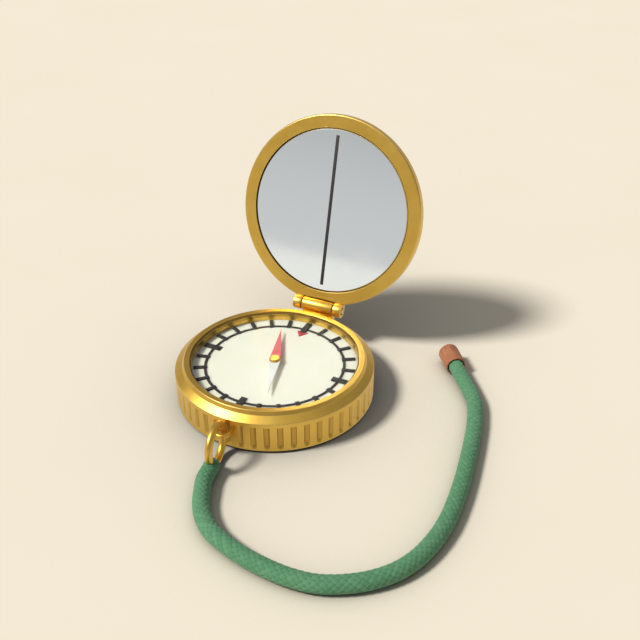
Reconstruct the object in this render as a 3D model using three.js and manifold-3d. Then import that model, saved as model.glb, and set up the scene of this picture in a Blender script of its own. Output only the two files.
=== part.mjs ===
// Pocket compass with a hinged mirror lid and a lanyard.
// Millimetres, +Z up. The origin is the middle of the case's base, +Y points to the hinge.

import * as THREE from 'three';
import { mergeVertices } from 'three/addons/utils/BufferGeometryUtils.js';
import Module from 'manifold-3d';

const wasm = await Module();
wasm.setup();

// Clearances
const fitGap = 0.3;
const runGap = 0.3;
const glueGap = 0.15;
const printGap = 0.02;
const scaleGap = 0.05;
const mergeTolerance = 1e-4;

// Roundness, in sides to a full turn
const turnedSides = 48;
const smallSides = 20;
const wireSides = 10;
const ringSteps = 32;
const stapleSteps = 12;

// Case
const caseRadius = 27;
const footRise = 0.8;
const footInset = 2.2;
const wallHeight = 9.2;
const shoulderRise = 1.3;
const shoulderWidth = 1.95;
const ledgeWidth = 1.8;
const floorThickness = 1.5;
const fluteCount = 50;
const fluteShift = 0.15;
const fluteCutterRadius = 0.85;
const fluteDepth = 0.6;
const fluteFoot = 1.3;
const fluteHead = 1.1;

// Dial
const dialDrop = 0.6;
const dialThickness = 0.8;
const scaleInset = 3.72;
const scaleLineWidth = 0.76;
const lineThickness = 0.2;
const tickCount = 24;
const tickInset = 0.52;
const tickWidth = 1.1;
const tickReach = 0.55;
const tickThickness = 0.4;
const mainTickEvery = 6;
const mainTickReach = 1.9;
const mainTickWidth = 1.7;
const northMarkWidth = 3.5;
const northMarkLap = 0.5;
const northMarkLength = 2.6;

// Bezel and crystal
const bezelLipWidth = 0.75;
const bezelWallThickness = 1.68;
const wellWallHeight = 1.25;
const seatLip = 0.12;
const bezelRise = 0.95;
const bezelBevel = 0.6;
const bezelChamfer = 0.12;
const crystalSeatWidth = 0.2;
const crystalThickness = 0.5;
const crystalRecess = 0.05;
const crystalChamfer = 0.1;
const crystalGap = 0.16;
const gasketThickness = 0.2;
const gasketWidth = 0.25;

// Needle and pivot
const needleTurn = 20.3;
const needleTipGap = 3.7;
const needleWidth = 3.25;
const bladeThickness = 0.3;
const bladeLift = 1.15;
const capRadius = 1.6;
const capTopRadius = 1.27;
const capHeight = 0.7;
const hubRadius = 0.75;
const hubDrop = 0.2;
const hubBore = 0.5;
const hubBoreDepth = 0.75;
const jewelGap = 0.06;
const jewelThickness = 0.35;
const jewelPit = 0.25;
const postRadius = 0.7;
const postTipRadius = 0.1;
const postTipGap = 0.12;
const postConeHeight = 0.75;
const postFootRadius = 2;
const postFootThickness = 0.7;

// Hinge
const hingeStandoff = 1.3;
const hingeDrop = 0.1;
const barrelRadius = 2;
const barrelLength = 15.2;
const bracketWidth = 9.6;
const pinRadius = 0.8;
const pinOverhang = 0.2;
const leafThickness = 1.3;
const leafHeight = 7;
const leafWebDrop = 1.8;
const stopReach = 3.7;
const stopThickness = 1.5;
const screwSpacing = 5.2;
const screwRadius = 0.8;
const screwDepth = 3;
const screwHeadRadius = 1.6;
const screwHeadHeight = 0.8;
const screwSlotWidth = 0.4;
const screwSlotDepth = 0.4;

// Lid
const lidOpenAngle = 104.75;
const lidGap = 0.25;
const lidOverhang = 0.4;
const lidBackThickness = 0.6;
const lidFaceChamfer = 0.3;
const lidBackChamfer = 0.6;
const lidTabLap = 2.5;
const lidRimWidth = 3.7;
const mirrorThickness = 1.2;
const mirrorRecess = 0.3;
const padInset = 2;
const padThickness = 0.4;
const sightInset = 1.65;
const sightWidth = 0.92;
const sightThickness = 0.12;

// Lanyard
const ringWireRadius = 0.95;
const ringRadius = 5;
const ringFloorGap = 0.15;
const ringRestTurn = 10;
const stapleWireRadius = 0.55;
const stapleDepth = 2.1;
const stapleSlack = 0.1;
const cordRadius = 2.07;
const cordSides = 10;
const cordSteps = 18;
const eyeBehindRing = 2.8;
const eyeBeyondRing = 3.2;
const eyeLift = 0.38;
const beadRadius = 2.85;
const beadLength = 7.6;
const beadChamfer = 0.35;
const beadSocketDepth = 1.3;
const beadStart = [43.2, 27.7];
const beadTurn = 34.9;
const cordRoute = [
  [3.9, -45.2, 2.3],
  [5.8, -48.8, 2.12],
  [8.4, -52.1, 2.1],
  [11.9, -54.9, 2.1],
  [16.6, -56.9, 2.1],
  [22, -58.4, 2.1],
  [28, -59.3, 2.1],
  [34, -59.5, 2.1],
  [39.5, -58.7, 2.1],
  [44.6, -56.5, 2.1],
  [49.3, -53.3, 2.1],
  [53.2, -49.2, 2.1],
  [56, -44.3, 2.1],
  [57.8, -38.5, 2.1],
  [58.8, -31.5, 2.1],
  [58.8, -24, 2.1],
  [58.2, -16, 2.1],
  [57.2, -8, 2.1],
  [56, 0, 2.1],
  [54.4, 8, 2.12],
  [52.2, 14.8, 2.2],
  [48.8, 20.2, 2.4],
  [45.6, 24.3, 2.75],
];

// Sizes that follow from the driving ones
const rimRadius = caseRadius - shoulderWidth;
const skirtRadius = rimRadius - bezelLipWidth;
const boreRadius = skirtRadius + fitGap;
const cavityRadius = skirtRadius - ledgeWidth;
const wellRadius = skirtRadius - bezelWallThickness;
const crystalRadius = wellRadius + crystalSeatWidth;
const scaleRadius = wellRadius - scaleInset;
const tickOuterRadius = wellRadius - tickInset;
const mainTickInnerRadius = scaleRadius - mainTickReach;
const northMarkBase = mainTickInnerRadius + northMarkLap;
const northMarkTip = northMarkBase - northMarkLength;
const needleLength = 2 * (scaleRadius - needleTipGap);
const dialHeight = wallHeight - dialDrop;
const ledgeHeight = dialHeight - dialThickness;
const rimHeight = wallHeight + shoulderRise;
const bezelTop = rimHeight + bezelRise;
const crystalTop = bezelTop - crystalRecess;
const crystalBottom = crystalTop - crystalThickness;
const crystalSeat = crystalBottom - gasketThickness;
const crystalBore = crystalRadius + crystalGap;
const lineTop = dialHeight + lineThickness;
const tickTop = dialHeight + tickThickness;
const bladeBottom = dialHeight + bladeLift;
const bladeTop = bladeBottom + bladeThickness;
const hubBottom = bladeBottom - hubDrop;
const lidFace = bezelTop + lidGap;
const hingeY = caseRadius + hingeStandoff;
const hingeZ = lidFace - hingeDrop;
const pinBore = pinRadius + runGap;
const knuckleInner = bracketWidth / 2 + runGap;
const knuckleWidth = barrelLength / 2 - knuckleInner;
const leafSeat = caseRadius + fitGap;
const leafFace = leafSeat + leafThickness;
const leafBottom = wallHeight - leafHeight;
const leafWebHeight = wallHeight - leafWebDrop;
const screwHeight = (leafBottom + leafWebHeight) / 2;
const screwBore = screwRadius + fitGap;
const lidRadius = caseRadius + lidOverhang;
const lidTabLength = hingeStandoff - lidOverhang + lidTabLap;
const recessRadius = lidRadius - lidRimWidth;
const mirrorRadius = recessRadius - fitGap;
const padRadius = mirrorRadius - padInset;
const sightLength = 2 * (mirrorRadius - sightInset);
const recessDepth = mirrorRecess + mirrorThickness + padThickness + 2 * glueGap;
const lidThickness = recessDepth + lidBackThickness;
const ringCentreZ = ringFloorGap + ringWireRadius + ringRadius;
const ringStandoff = caseRadius + runGap + ringWireRadius;
const stapleBow = ringWireRadius + runGap + stapleWireRadius + stapleSlack;
const eyeInner = 2 * ringRadius - eyeBehindRing;
const eyeOuter = 2 * ringRadius + eyeBeyondRing;
const eyeHeight = cordRadius + eyeLift;
const radians = THREE.MathUtils.degToRad;

// Turns a geometry into one closed body with shared vertices and its faces outward.
function closed(geometry) {
  const bare = geometry.clone();
  bare.deleteAttribute('normal');
  bare.deleteAttribute('uv');
  const merged = mergeVertices(bare, mergeTolerance);
  const index = merged.index.array;
  const kept = [];
  for (let i = 0; i < index.length; i += 3) {
    const corners = [index[i], index[i + 1], index[i + 2]];
    if (new Set(corners).size === 3) kept.push(...corners);
  }
  merged.setIndex(signedVolume(merged, kept) < 0 ? kept.toReversed() : kept);
  return merged;
}

// Volume enclosed by the triangles, negative where they face inward.
function signedVolume(geometry, index) {
  const position = geometry.getAttribute('position');
  const [a, b, c] = [new THREE.Vector3(), new THREE.Vector3(), new THREE.Vector3()];
  let volume = 0;
  for (let i = 0; i < index.length; i += 3) {
    a.fromBufferAttribute(position, index[i]);
    b.fromBufferAttribute(position, index[i + 1]);
    c.fromBufferAttribute(position, index[i + 2]);
    volume += a.dot(b.cross(c)) / 6;
  }
  return volume;
}

// Closed geometry as a solid that can be cut and joined.
function solid(geometry) {
  const body = closed(geometry);
  const vertProperties = new Float32Array(body.getAttribute('position').array);
  const triVerts = new Uint32Array(body.index.array);
  return new wasm.Manifold(new wasm.Mesh({ numProp: 3, vertProperties, triVerts }));
}

// Solid back to a geometry.
function shaped(body) {
  const mesh = body.getMesh();
  const geometry = new THREE.BufferGeometry();
  geometry.setAttribute('position', new THREE.BufferAttribute(new Float32Array(mesh.vertProperties), 3));
  geometry.setIndex(Array.from(mesh.triVerts));
  return geometry;
}

function join(first, ...others) {
  return shaped(others.reduce((body, other) => body.add(solid(other)), solid(first)));
}

function cut(first, ...tools) {
  return shaped(tools.reduce((body, tool) => body.subtract(solid(tool)), solid(first)));
}

// Solid of revolution about +Z from [radius, height] points.
function turned(profile, sides = turnedSides) {
  const points = profile.map(([radius, height]) => new THREE.Vector2(radius, height));
  return closed(new THREE.LatheGeometry(points, sides).rotateX(Math.PI / 2));
}

// Ring with a closed section of [radius, height] points.
function turnedRing(section, sides = turnedSides) {
  return turned([...section, section[0]], sides);
}

// Straight round bar along x, y or z, centred on the given point.
function rod(axis, radius, length, [x, y, z], sides = smallSides) {
  const geometry = new THREE.CylinderGeometry(radius, radius, length, sides);
  if (axis === 'x') geometry.rotateZ(Math.PI / 2);
  if (axis === 'z') geometry.rotateX(Math.PI / 2);
  return geometry.translate(x, y, z);
}

// Rectangular block between two corners.
function block([x0, y0, z0], [x1, y1, z1]) {
  const geometry = new THREE.BoxGeometry(x1 - x0, y1 - y0, z1 - z0);
  return geometry.translate((x0 + x1) / 2, (y0 + y1) / 2, (z0 + z1) / 2);
}

// Flat plate with the given [x, y] outline, from one height to another.
function plate(outline, bottom, top) {
  const shape = new THREE.Shape(outline.map(([x, y]) => new THREE.Vector2(x, y)));
  const geometry = new THREE.ExtrudeGeometry(shape, { depth: top - bottom, bevelEnabled: false });
  return geometry.translate(0, 0, bottom);
}

// Bar with a [y, z] section that runs along x, centred on x = 0.
function sectionBar(section, width) {
  const along = new THREE.Matrix4().makeBasis(
    new THREE.Vector3(0, 1, 0),
    new THREE.Vector3(0, 0, 1),
    new THREE.Vector3(1, 0, 0),
  );
  return plate(section, -width / 2, width / 2).applyMatrix4(along);
}

// Round bar swept along a curve.
function swept(curve, radius, sides, steps) {
  const section = new THREE.Shape();
  for (let i = 0; i < sides; i += 1) {
    const angle = (2 * Math.PI * i) / sides;
    const corner = [radius * Math.cos(angle), radius * Math.sin(angle)];
    if (i === 0) section.moveTo(...corner);
    else section.lineTo(...corner);
  }
  return closed(new THREE.ExtrudeGeometry(section, { steps, extrudePath: curve, bevelEnabled: false }));
}

function finish(color, roughness, metalness) {
  return new THREE.MeshStandardMaterial({ color, roughness, metalness });
}

const brass = () => finish('#c49a46', 0.3, 1);
const steel = () => finish('#b9bcbf', 0.25, 1);
const ink = () => finish('#3a382f', 0.6, 0);

// Adds one named piece to a group.
function piece(parent, name, geometry, material) {
  const body = closed(geometry);
  body.computeVertexNormals();
  const mesh = new THREE.Mesh(body, material);
  mesh.name = name;
  parent.add(mesh);
}

// Fluted cup with screw holes for the hinge bracket and the staple's two sockets.
function caseBody() {
  const cup = turned([
    [0, 0],
    [caseRadius - footInset, 0],
    [caseRadius, footRise],
    [caseRadius, wallHeight],
    [rimRadius, rimHeight],
    [boreRadius, rimHeight],
    [boreRadius, ledgeHeight],
    [cavityRadius, ledgeHeight],
    [cavityRadius, floorThickness],
    [0, floorThickness],
  ]);
  const tools = [];
  const cutterOffset = caseRadius - fluteDepth + fluteCutterRadius;
  const fluteLength = wallHeight - fluteFoot - fluteHead;
  for (let i = 0; i < fluteCount; i += 1) {
    const angle = (2 * Math.PI * (i + fluteShift)) / fluteCount;
    const centre = [0, -cutterOffset, fluteFoot + fluteLength / 2];
    tools.push(rod('z', fluteCutterRadius, fluteLength, centre, wireSides).rotateZ(angle));
  }
  const screwEnd = leafSeat - fitGap - screwDepth - fitGap;
  for (const side of [-1, 1]) {
    const screwLength = caseRadius + fitGap - screwEnd;
    const screwAt = [(side * screwSpacing) / 2, screwEnd + screwLength / 2, screwHeight];
    tools.push(rod('y', screwBore, screwLength, screwAt));
    const socketLength = stapleDepth + 2 * fitGap;
    const socketAt = [side * stapleBow, -caseRadius - fitGap + socketLength / 2, ringCentreZ];
    tools.push(rod('y', stapleWireRadius + fitGap, socketLength, socketAt));
  }
  return cut(cup, ...tools);
}

// Bevelled ring that clamps the dial and seats the crystal.
function bezelRing() {
  return turnedRing([
    [wellRadius, dialHeight],
    [skirtRadius, dialHeight],
    [skirtRadius, rimHeight],
    [rimRadius, rimHeight],
    [rimRadius - bezelBevel, bezelTop],
    [crystalBore + bezelChamfer, bezelTop],
    [crystalBore, bezelTop - bezelChamfer],
    [crystalBore, crystalSeat],
    [wellRadius - seatLip, crystalSeat],
    [wellRadius, dialHeight + wellWallHeight],
  ]);
}

function crystal() {
  return turned([
    [0, crystalBottom],
    [crystalRadius, crystalBottom],
    [crystalRadius, crystalTop - crystalChamfer],
    [crystalRadius - crystalChamfer, crystalTop],
    [0, crystalTop],
  ]);
}

function crystalGasket() {
  return turnedRing([
    [crystalRadius - gasketWidth, crystalSeat],
    [crystalRadius, crystalSeat],
    [crystalRadius, crystalBottom],
    [crystalRadius - gasketWidth, crystalBottom],
  ]);
}

function dialPlate() {
  return turnedRing([
    [postRadius + fitGap, ledgeHeight],
    [skirtRadius, ledgeHeight],
    [skirtRadius, dialHeight],
    [postRadius + fitGap, dialHeight],
  ]);
}

// Printed ring with its ticks, every sixth one longer and wider.
function dialScale() {
  const inner = scaleRadius - scaleLineWidth / 2;
  const outer = scaleRadius + scaleLineWidth / 2;
  const line = turnedRing([
    [inner, dialHeight],
    [outer, dialHeight],
    [outer, lineTop],
    [inner, lineTop],
  ]);
  const ticks = [];
  for (let i = 0; i < tickCount; i += 1) {
    const main = i % mainTickEvery === 0;
    const width = main ? mainTickWidth : tickWidth;
    const start = scaleRadius - (main ? mainTickReach : tickReach);
    const tick = block([-width / 2, start, dialHeight], [width / 2, tickOuterRadius, tickTop]);
    ticks.push(tick.rotateZ((2 * Math.PI * i) / tickCount));
  }
  return join(line, ...ticks);
}

// Red arrowhead that points to the middle, open where the north tick ends.
function northMark() {
  const half = northMarkWidth / 2;
  const notch = mainTickWidth / 2 + scaleGap;
  const notchEnd = mainTickInnerRadius - scaleGap;
  const outline = [
    [0, northMarkTip],
    [half, northMarkBase],
    [notch, northMarkBase],
    [notch, notchEnd],
    [-notch, notchEnd],
    [-notch, northMarkBase],
    [-half, northMarkBase],
  ];
  return plate(outline, dialHeight, lineTop);
}

// Steel post riveted through the dial plate, with a fine tip.
function pivotPost() {
  const tip = hubBottom + hubBoreDepth - jewelThickness + jewelPit - postTipGap;
  return turned([
    [0, ledgeHeight - postFootThickness],
    [postFootRadius, ledgeHeight - postFootThickness],
    [postFootRadius, ledgeHeight],
    [postRadius, ledgeHeight],
    [postRadius, tip - postConeHeight],
    [postTipRadius, tip],
    [0, tip],
  ], smallSides);
}

// Half of the diamond blade, on the +y side for 1 and the -y side for -1.
function needleBlade(side) {
  const half = needleWidth / 2;
  const split = (side * printGap) / 2;
  const blade = plate([
    [-half, split],
    [half, split],
    [0, (side * needleLength) / 2],
  ], bladeBottom, bladeTop);
  const reach = bladeThickness + fitGap;
  return cut(blade, rod('z', hubRadius + fitGap, 2 * reach, [0, 0, bladeBottom]));
}

// Brass cap with a hub below it, bored for the bearing.
function needleCap() {
  return turned([
    [0, hubBottom + hubBoreDepth],
    [hubBore, hubBottom + hubBoreDepth],
    [hubBore, hubBottom],
    [hubRadius, hubBottom],
    [hubRadius, bladeTop],
    [capRadius, bladeTop],
    [capTopRadius, bladeTop + capHeight],
    [0, bladeTop + capHeight],
  ], smallSides);
}

// Bearing cup with a conical pit for the pivot's tip.
function needleJewel() {
  const top = hubBottom + hubBoreDepth;
  const bottom = top - jewelThickness;
  const radius = hubBore - jewelGap;
  return turned([
    [0, bottom + jewelPit],
    [radius - jewelGap, bottom],
    [radius, bottom],
    [radius, top],
    [0, top],
  ], smallSides);
}

// Wall leaf, middle knuckle and the lip that stops the open lid, in one casting.
function hingeBracket() {
  const stopTop = hingeZ;
  const arm = sectionBar([
    [caseRadius - stopThickness, leafBottom],
    [leafFace, leafBottom],
    [leafFace, leafWebHeight],
    [hingeY + stopReach, stopTop - stopThickness],
    [hingeY + stopReach, stopTop],
    [hingeY, stopTop],
    [leafSeat, stopTop - stopThickness],
    [leafSeat, wallHeight - runGap],
    [caseRadius - stopThickness, wallHeight - runGap],
  ], bracketWidth);
  const knuckle = rod('x', barrelRadius, bracketWidth, [0, hingeY, hingeZ]);
  const wall = rod('z', leafSeat, 2 * wallHeight, [0, 0, 0], turnedSides);
  const tools = [wall, rod('x', pinBore, 2 * barrelLength, [0, hingeY, hingeZ])];
  for (const side of [-1, 1]) {
    tools.push(rod('y', screwBore, 2 * screwDepth, [(side * screwSpacing) / 2, leafFace, screwHeight]));
  }
  return cut(join(arm, knuckle), ...tools);
}

// Slotted screw that points to -y, with its head on the leaf.
function bracketScrew(side) {
  const shank = caseRadius - screwDepth;
  const screw = turned([
    [0, shank],
    [screwRadius, shank],
    [screwRadius, leafFace],
    [screwHeadRadius, leafFace],
    [screwHeadRadius, leafFace + screwHeadHeight / 2],
    [screwHeadRadius / 2, leafFace + screwHeadHeight],
    [0, leafFace + screwHeadHeight],
  ], smallSides);
  const slotFloor = leafFace + screwHeadHeight - screwSlotDepth;
  const slotHalf = screwSlotWidth / 2;
  const slotReach = 2 * screwHeadRadius;
  const slotTop = slotFloor + 2 * screwHeadHeight;
  const slot = block([-slotReach, -slotHalf, slotFloor], [slotReach, slotHalf, slotTop]);
  return cut(screw, slot).rotateX(-Math.PI / 2).translate((side * screwSpacing) / 2, 0, screwHeight);
}

// Lid with its mirror recess and the two outer knuckles, closed, about the hinge axis.
function lidShell() {
  const face = hingeDrop;
  const back = face + lidThickness;
  const floor = face + recessDepth;
  const disc = turned([
    [0, floor],
    [recessRadius, floor],
    [recessRadius, face],
    [lidRadius - lidFaceChamfer, face],
    [lidRadius, face + lidFaceChamfer],
    [lidRadius, back - lidBackChamfer],
    [lidRadius - lidBackChamfer, back],
    [0, back],
  ]).translate(0, -hingeY, 0);
  const knuckles = [];
  for (const side of [-1, 1]) {
    const middle = side * (knuckleInner + knuckleWidth / 2);
    const left = middle - knuckleWidth / 2;
    const right = middle + knuckleWidth / 2;
    knuckles.push(rod('x', barrelRadius, knuckleWidth, [middle, 0, 0]));
    knuckles.push(block([left, -lidTabLength, face], [right, 0, barrelRadius]));
  }
  const relief = rod('x', barrelRadius + runGap, 2 * knuckleInner, [0, 0, 0]);
  const bore = rod('x', pinBore, 2 * barrelLength, [0, 0, 0]);
  return cut(join(cut(disc, relief), ...knuckles), bore);
}

function mirror() {
  const front = hingeDrop + mirrorRecess;
  const back = front + mirrorThickness;
  return turned([
    [0, front],
    [mirrorRadius, front],
    [mirrorRadius, back],
    [0, back],
  ]).translate(0, -hingeY, 0);
}

function mirrorPad() {
  const front = hingeDrop + mirrorRecess + mirrorThickness + glueGap;
  const back = front + padThickness;
  return turned([
    [0, front],
    [padRadius, front],
    [padRadius, back],
    [0, back],
  ]).translate(0, -hingeY, 0);
}

function sightLine() {
  const back = hingeDrop + mirrorRecess - printGap;
  const half = sightWidth / 2;
  const near = -hingeY + sightLength / 2;
  const far = -hingeY - sightLength / 2;
  return block([-half, far, back - sightThickness], [half, near, back]);
}

// U of wire let into the front of the case wall.
function lanyardStaple() {
  const root = new THREE.Vector3(stapleBow, -caseRadius + stapleDepth, ringCentreZ);
  const shoulder = new THREE.Vector3(stapleBow, -ringStandoff, ringCentreZ);
  const mirrored = (point) => new THREE.Vector3(-point.x, point.y, point.z);
  const bow = new THREE.CurvePath();
  bow.add(new THREE.LineCurve3(root, shoulder));
  let last = shoulder;
  for (let i = 1; i <= stapleSteps; i += 1) {
    const angle = (Math.PI * i) / stapleSteps;
    const x = stapleBow * Math.cos(angle);
    const next = new THREE.Vector3(x, -ringStandoff - stapleBow * Math.sin(angle), ringCentreZ);
    bow.add(new THREE.LineCurve3(last, next));
    last = next;
  }
  bow.add(new THREE.LineCurve3(mirrored(shoulder), mirrored(root)));
  return swept(bow, stapleWireRadius, wireSides, 2 * stapleSteps);
}

// Wire ring that stands in the plane through the case's axis, about its pivot in the staple.
function wireRing(wireRadius) {
  const torus = new THREE.TorusGeometry(ringRadius, wireRadius, wireSides, ringSteps);
  return torus.rotateY(Math.PI / 2).translate(0, -ringRadius, 0);
}

// End of the cord, worked round the ring.
function lanyardEye() {
  const length = eyeOuter - eyeInner;
  const middle = [0, -(eyeInner + eyeOuter) / 2, eyeHeight - ringCentreZ];
  return cut(rod('y', cordRadius, length, middle, cordSides), wireRing(ringWireRadius + fitGap));
}

// Direction from the cord into the bead.
const beadAxis = new THREE.Vector3(-Math.sin(radians(beadTurn)), Math.cos(radians(beadTurn)), 0);

// Cord that lies on the table from the ring to the bead.
function lanyardCord() {
  const turn = radians(ringRestTurn);
  const outward = new THREE.Vector3(Math.sin(turn), -Math.cos(turn), 0);
  const start = Math.hypot(eyeOuter, cordRadius) + fitGap;
  const first = new THREE.Vector3(0, -ringStandoff, eyeHeight).addScaledVector(outward, start);
  const mouth = new THREE.Vector3(...beadStart, beadRadius);
  const last = mouth.clone().addScaledVector(beadAxis, beadSocketDepth - fitGap);
  const route = cordRoute.map((point) => new THREE.Vector3(...point));
  const curve = new THREE.CatmullRomCurve3([first, ...route, mouth, last]);
  return swept(curve, cordRadius, cordSides, cordSteps);
}

// Bead on the cord's end, with a socket for the cord, along +z from its mouth.
function lanyardBead() {
  const socket = cordRadius + fitGap;
  return turned([
    [0, beadSocketDepth],
    [socket, beadSocketDepth],
    [socket, 0],
    [beadRadius - beadChamfer / 2, 0],
    [beadRadius, beadChamfer],
    [beadRadius, beadLength - beadChamfer],
    [beadRadius - beadChamfer, beadLength],
    [0, beadLength],
  ], smallSides);
}

const compass = new THREE.Group();

const caseGroup = new THREE.Group();
compass.add(caseGroup);
piece(caseGroup, 'case_body', caseBody(), brass());
piece(caseGroup, 'bezel_ring', bezelRing(), brass());
piece(caseGroup, 'crystal', crystal(), finish('#e8f0f0', 0.05, 0));
piece(caseGroup, 'crystal_gasket', crystalGasket(), finish('#8f6d36', 0.8, 0));
piece(caseGroup, 'dial_plate', dialPlate(), finish('#f3ecd0', 0.6, 0));
piece(caseGroup, 'dial_scale', dialScale(), ink());
piece(caseGroup, 'north_mark', northMark(), finish('#d8262c', 0.5, 0));
piece(caseGroup, 'pivot_post', pivotPost(), steel());

const needleGroup = new THREE.Group();
needleGroup.rotation.z = radians(needleTurn);
compass.add(needleGroup);
piece(needleGroup, 'needle_north', needleBlade(1), finish('#d8343a', 0.4, 0));
piece(needleGroup, 'needle_south', needleBlade(-1), finish('#f4f4f2', 0.4, 0));
piece(needleGroup, 'needle_cap', needleCap(), brass());
piece(needleGroup, 'needle_jewel', needleJewel(), finish('#a8243c', 0.1, 0));

const hingeGroup = new THREE.Group();
compass.add(hingeGroup);
piece(hingeGroup, 'hinge_bracket', hingeBracket(), brass());
piece(hingeGroup, 'bracket_screw_left', bracketScrew(-1), brass());
piece(hingeGroup, 'bracket_screw_right', bracketScrew(1), brass());
const pinLength = barrelLength + 2 * pinOverhang;
piece(hingeGroup, 'hinge_pin', rod('x', pinRadius, pinLength, [0, hingeY, hingeZ]), brass());

const lidGroup = new THREE.Group();
lidGroup.position.set(0, hingeY, hingeZ);
lidGroup.rotation.x = -radians(lidOpenAngle);
compass.add(lidGroup);
piece(lidGroup, 'lid_shell', lidShell(), brass());
piece(lidGroup, 'mirror', mirror(), finish('#dfe4e6', 0.03, 1));
piece(lidGroup, 'mirror_pad', mirrorPad(), finish('#d9d6cc', 0.9, 0));
piece(lidGroup, 'sight_line', sightLine(), ink());

piece(caseGroup, 'lanyard_staple', lanyardStaple(), brass());
const ringGroup = new THREE.Group();
ringGroup.position.set(0, -ringStandoff, ringCentreZ);
ringGroup.rotation.z = radians(ringRestTurn);
compass.add(ringGroup);
piece(ringGroup, 'lanyard_ring', wireRing(ringWireRadius), brass());
piece(ringGroup, 'lanyard_eye', lanyardEye(), finish('#3f7f58', 0.85, 0));

piece(caseGroup, 'lanyard_cord', lanyardCord(), finish('#3f7f58', 0.85, 0));
const beadGroup = new THREE.Group();
beadGroup.position.set(...beadStart, beadRadius);
beadGroup.quaternion.setFromUnitVectors(new THREE.Vector3(0, 0, 1), beadAxis);
compass.add(beadGroup);
piece(beadGroup, 'lanyard_bead', lanyardBead(), finish('#a8673f', 0.5, 0));

export default compass;
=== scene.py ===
"""Brass pocket compass with a mirror lid and a lanyard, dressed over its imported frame."""

import logging
import math
from dataclasses import dataclass, replace
from enum import Enum

import bpy
import numpy as np
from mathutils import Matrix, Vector


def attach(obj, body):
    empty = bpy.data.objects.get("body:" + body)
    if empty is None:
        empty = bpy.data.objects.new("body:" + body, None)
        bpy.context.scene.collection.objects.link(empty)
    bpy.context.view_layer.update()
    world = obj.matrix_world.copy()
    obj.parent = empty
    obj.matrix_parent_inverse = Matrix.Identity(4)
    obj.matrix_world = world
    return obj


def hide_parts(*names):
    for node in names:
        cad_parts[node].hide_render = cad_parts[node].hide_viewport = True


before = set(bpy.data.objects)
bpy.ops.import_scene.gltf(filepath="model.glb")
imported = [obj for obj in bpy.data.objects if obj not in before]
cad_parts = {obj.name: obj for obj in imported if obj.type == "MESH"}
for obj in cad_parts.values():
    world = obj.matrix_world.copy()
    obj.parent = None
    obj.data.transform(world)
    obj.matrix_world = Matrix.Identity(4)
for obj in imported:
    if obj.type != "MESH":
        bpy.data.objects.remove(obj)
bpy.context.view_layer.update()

LOG = logging.getLogger("compass")
MM = 0.001
UV_NAME = "surface_mm"
# An eased corner also gets a point this many eases away, so that the flat beside it is shaded flat.
HOLD = 1.6
# Steps in the full turn of the large rings.
FINE = 192
Array = np.ndarray
Eases = tuple[float, ...]
Look = bpy.types.Material
Node = bpy.types.Node
Pair = tuple[float, float]
Socket = bpy.types.NodeSocket
Tree = bpy.types.NodeTree
Triple = tuple[float, float, float]


class Body(Enum):
    """The moving bodies of the frame."""

    CASE = "case"
    LID = "lid"
    NEEDLE = "needle"
    RING = "ring"


class Run(Enum):
    """Which way the fine tool marks run on a metal piece."""

    ROUND = "Y"
    ALONG = "X"


def linear(code: str) -> tuple[float, float, float, float]:
    """Turns an sRGB hex colour into linear light.

    Args:
        code: Six hex digits after a hash sign.

    Returns:
        Red, green, blue and an alpha of 1, in linear light.
    """
    s = np.array([int(code[i:i + 2], 16) for i in (1, 3, 5)]) / 255
    lit = np.where(s <= 0.04045, s / 12.92, ((s + 0.055) / 1.055) ** 2.4)
    return (*(float(x) for x in lit), 1.0)


def give(tree: Tree, node: Node, inputs: dict) -> None:
    """Sets a node's inputs.

    Args:
        tree: The node tree.
        node: The node.
        inputs: A value, a socket, or a node that stands for its first output, by the input's name or number.
    """
    for key, value in inputs.items():
        source = value.outputs[0] if isinstance(value, Node) else value
        if isinstance(source, Socket):
            tree.links.new(source, node.inputs[key])
        else:
            node.inputs[key].default_value = source


def add(tree: Tree, kind: str, inputs: dict | None = None, **settings: object) -> Node:
    """Adds one node with its settings and its inputs.

    Args:
        tree: The node tree that gets the node.
        kind: The node's type, without the ShaderNode in front.
        inputs: What its inputs get.
        settings: The node's own properties.

    Returns:
        The new node.
    """
    node = tree.nodes.new("ShaderNode" + kind)
    for key, value in settings.items():
        setattr(node, key, value)
    give(tree, node, inputs or {})
    return node


def around(count: int) -> Array:
    """Gives evenly spaced angles round a full turn."""
    return np.linspace(0, 2 * np.pi, count, endpoint=False)


def arc(radius: float, angles: Array) -> Array:
    """Gives the points (r cos a, r sin a)."""
    return radius * np.stack([np.cos(angles), np.sin(angles)], 1)


def grid_of(x: Array, y: Array, z: Array) -> Array:
    """Gives the grid of points whose coordinates are three arrays that broadcast together."""
    return np.stack(np.broadcast_arrays(x, y, z), -1)


def lengths(path: Array) -> Array:
    """Gives the length along a path up to each of its points."""
    return np.append(0, np.cumsum(np.linalg.norm(np.diff(path, axis=0), axis=1)))


def box(x0: float, x1: float, y0: float, y1: float) -> list[Pair]:
    """Gives a rectangle's corners, counter-clockwise."""
    return [(x0, y0), (x1, y0), (x1, y1), (x0, y1)]


def corners_of(grid: Array) -> Array:
    """Gives the four corners of each cell of a grid, in order round the cell."""
    return np.stack([grid[:-1, :-1], grid[:-1, 1:], grid[1:, 1:], grid[1:, :-1]], 2)


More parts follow.
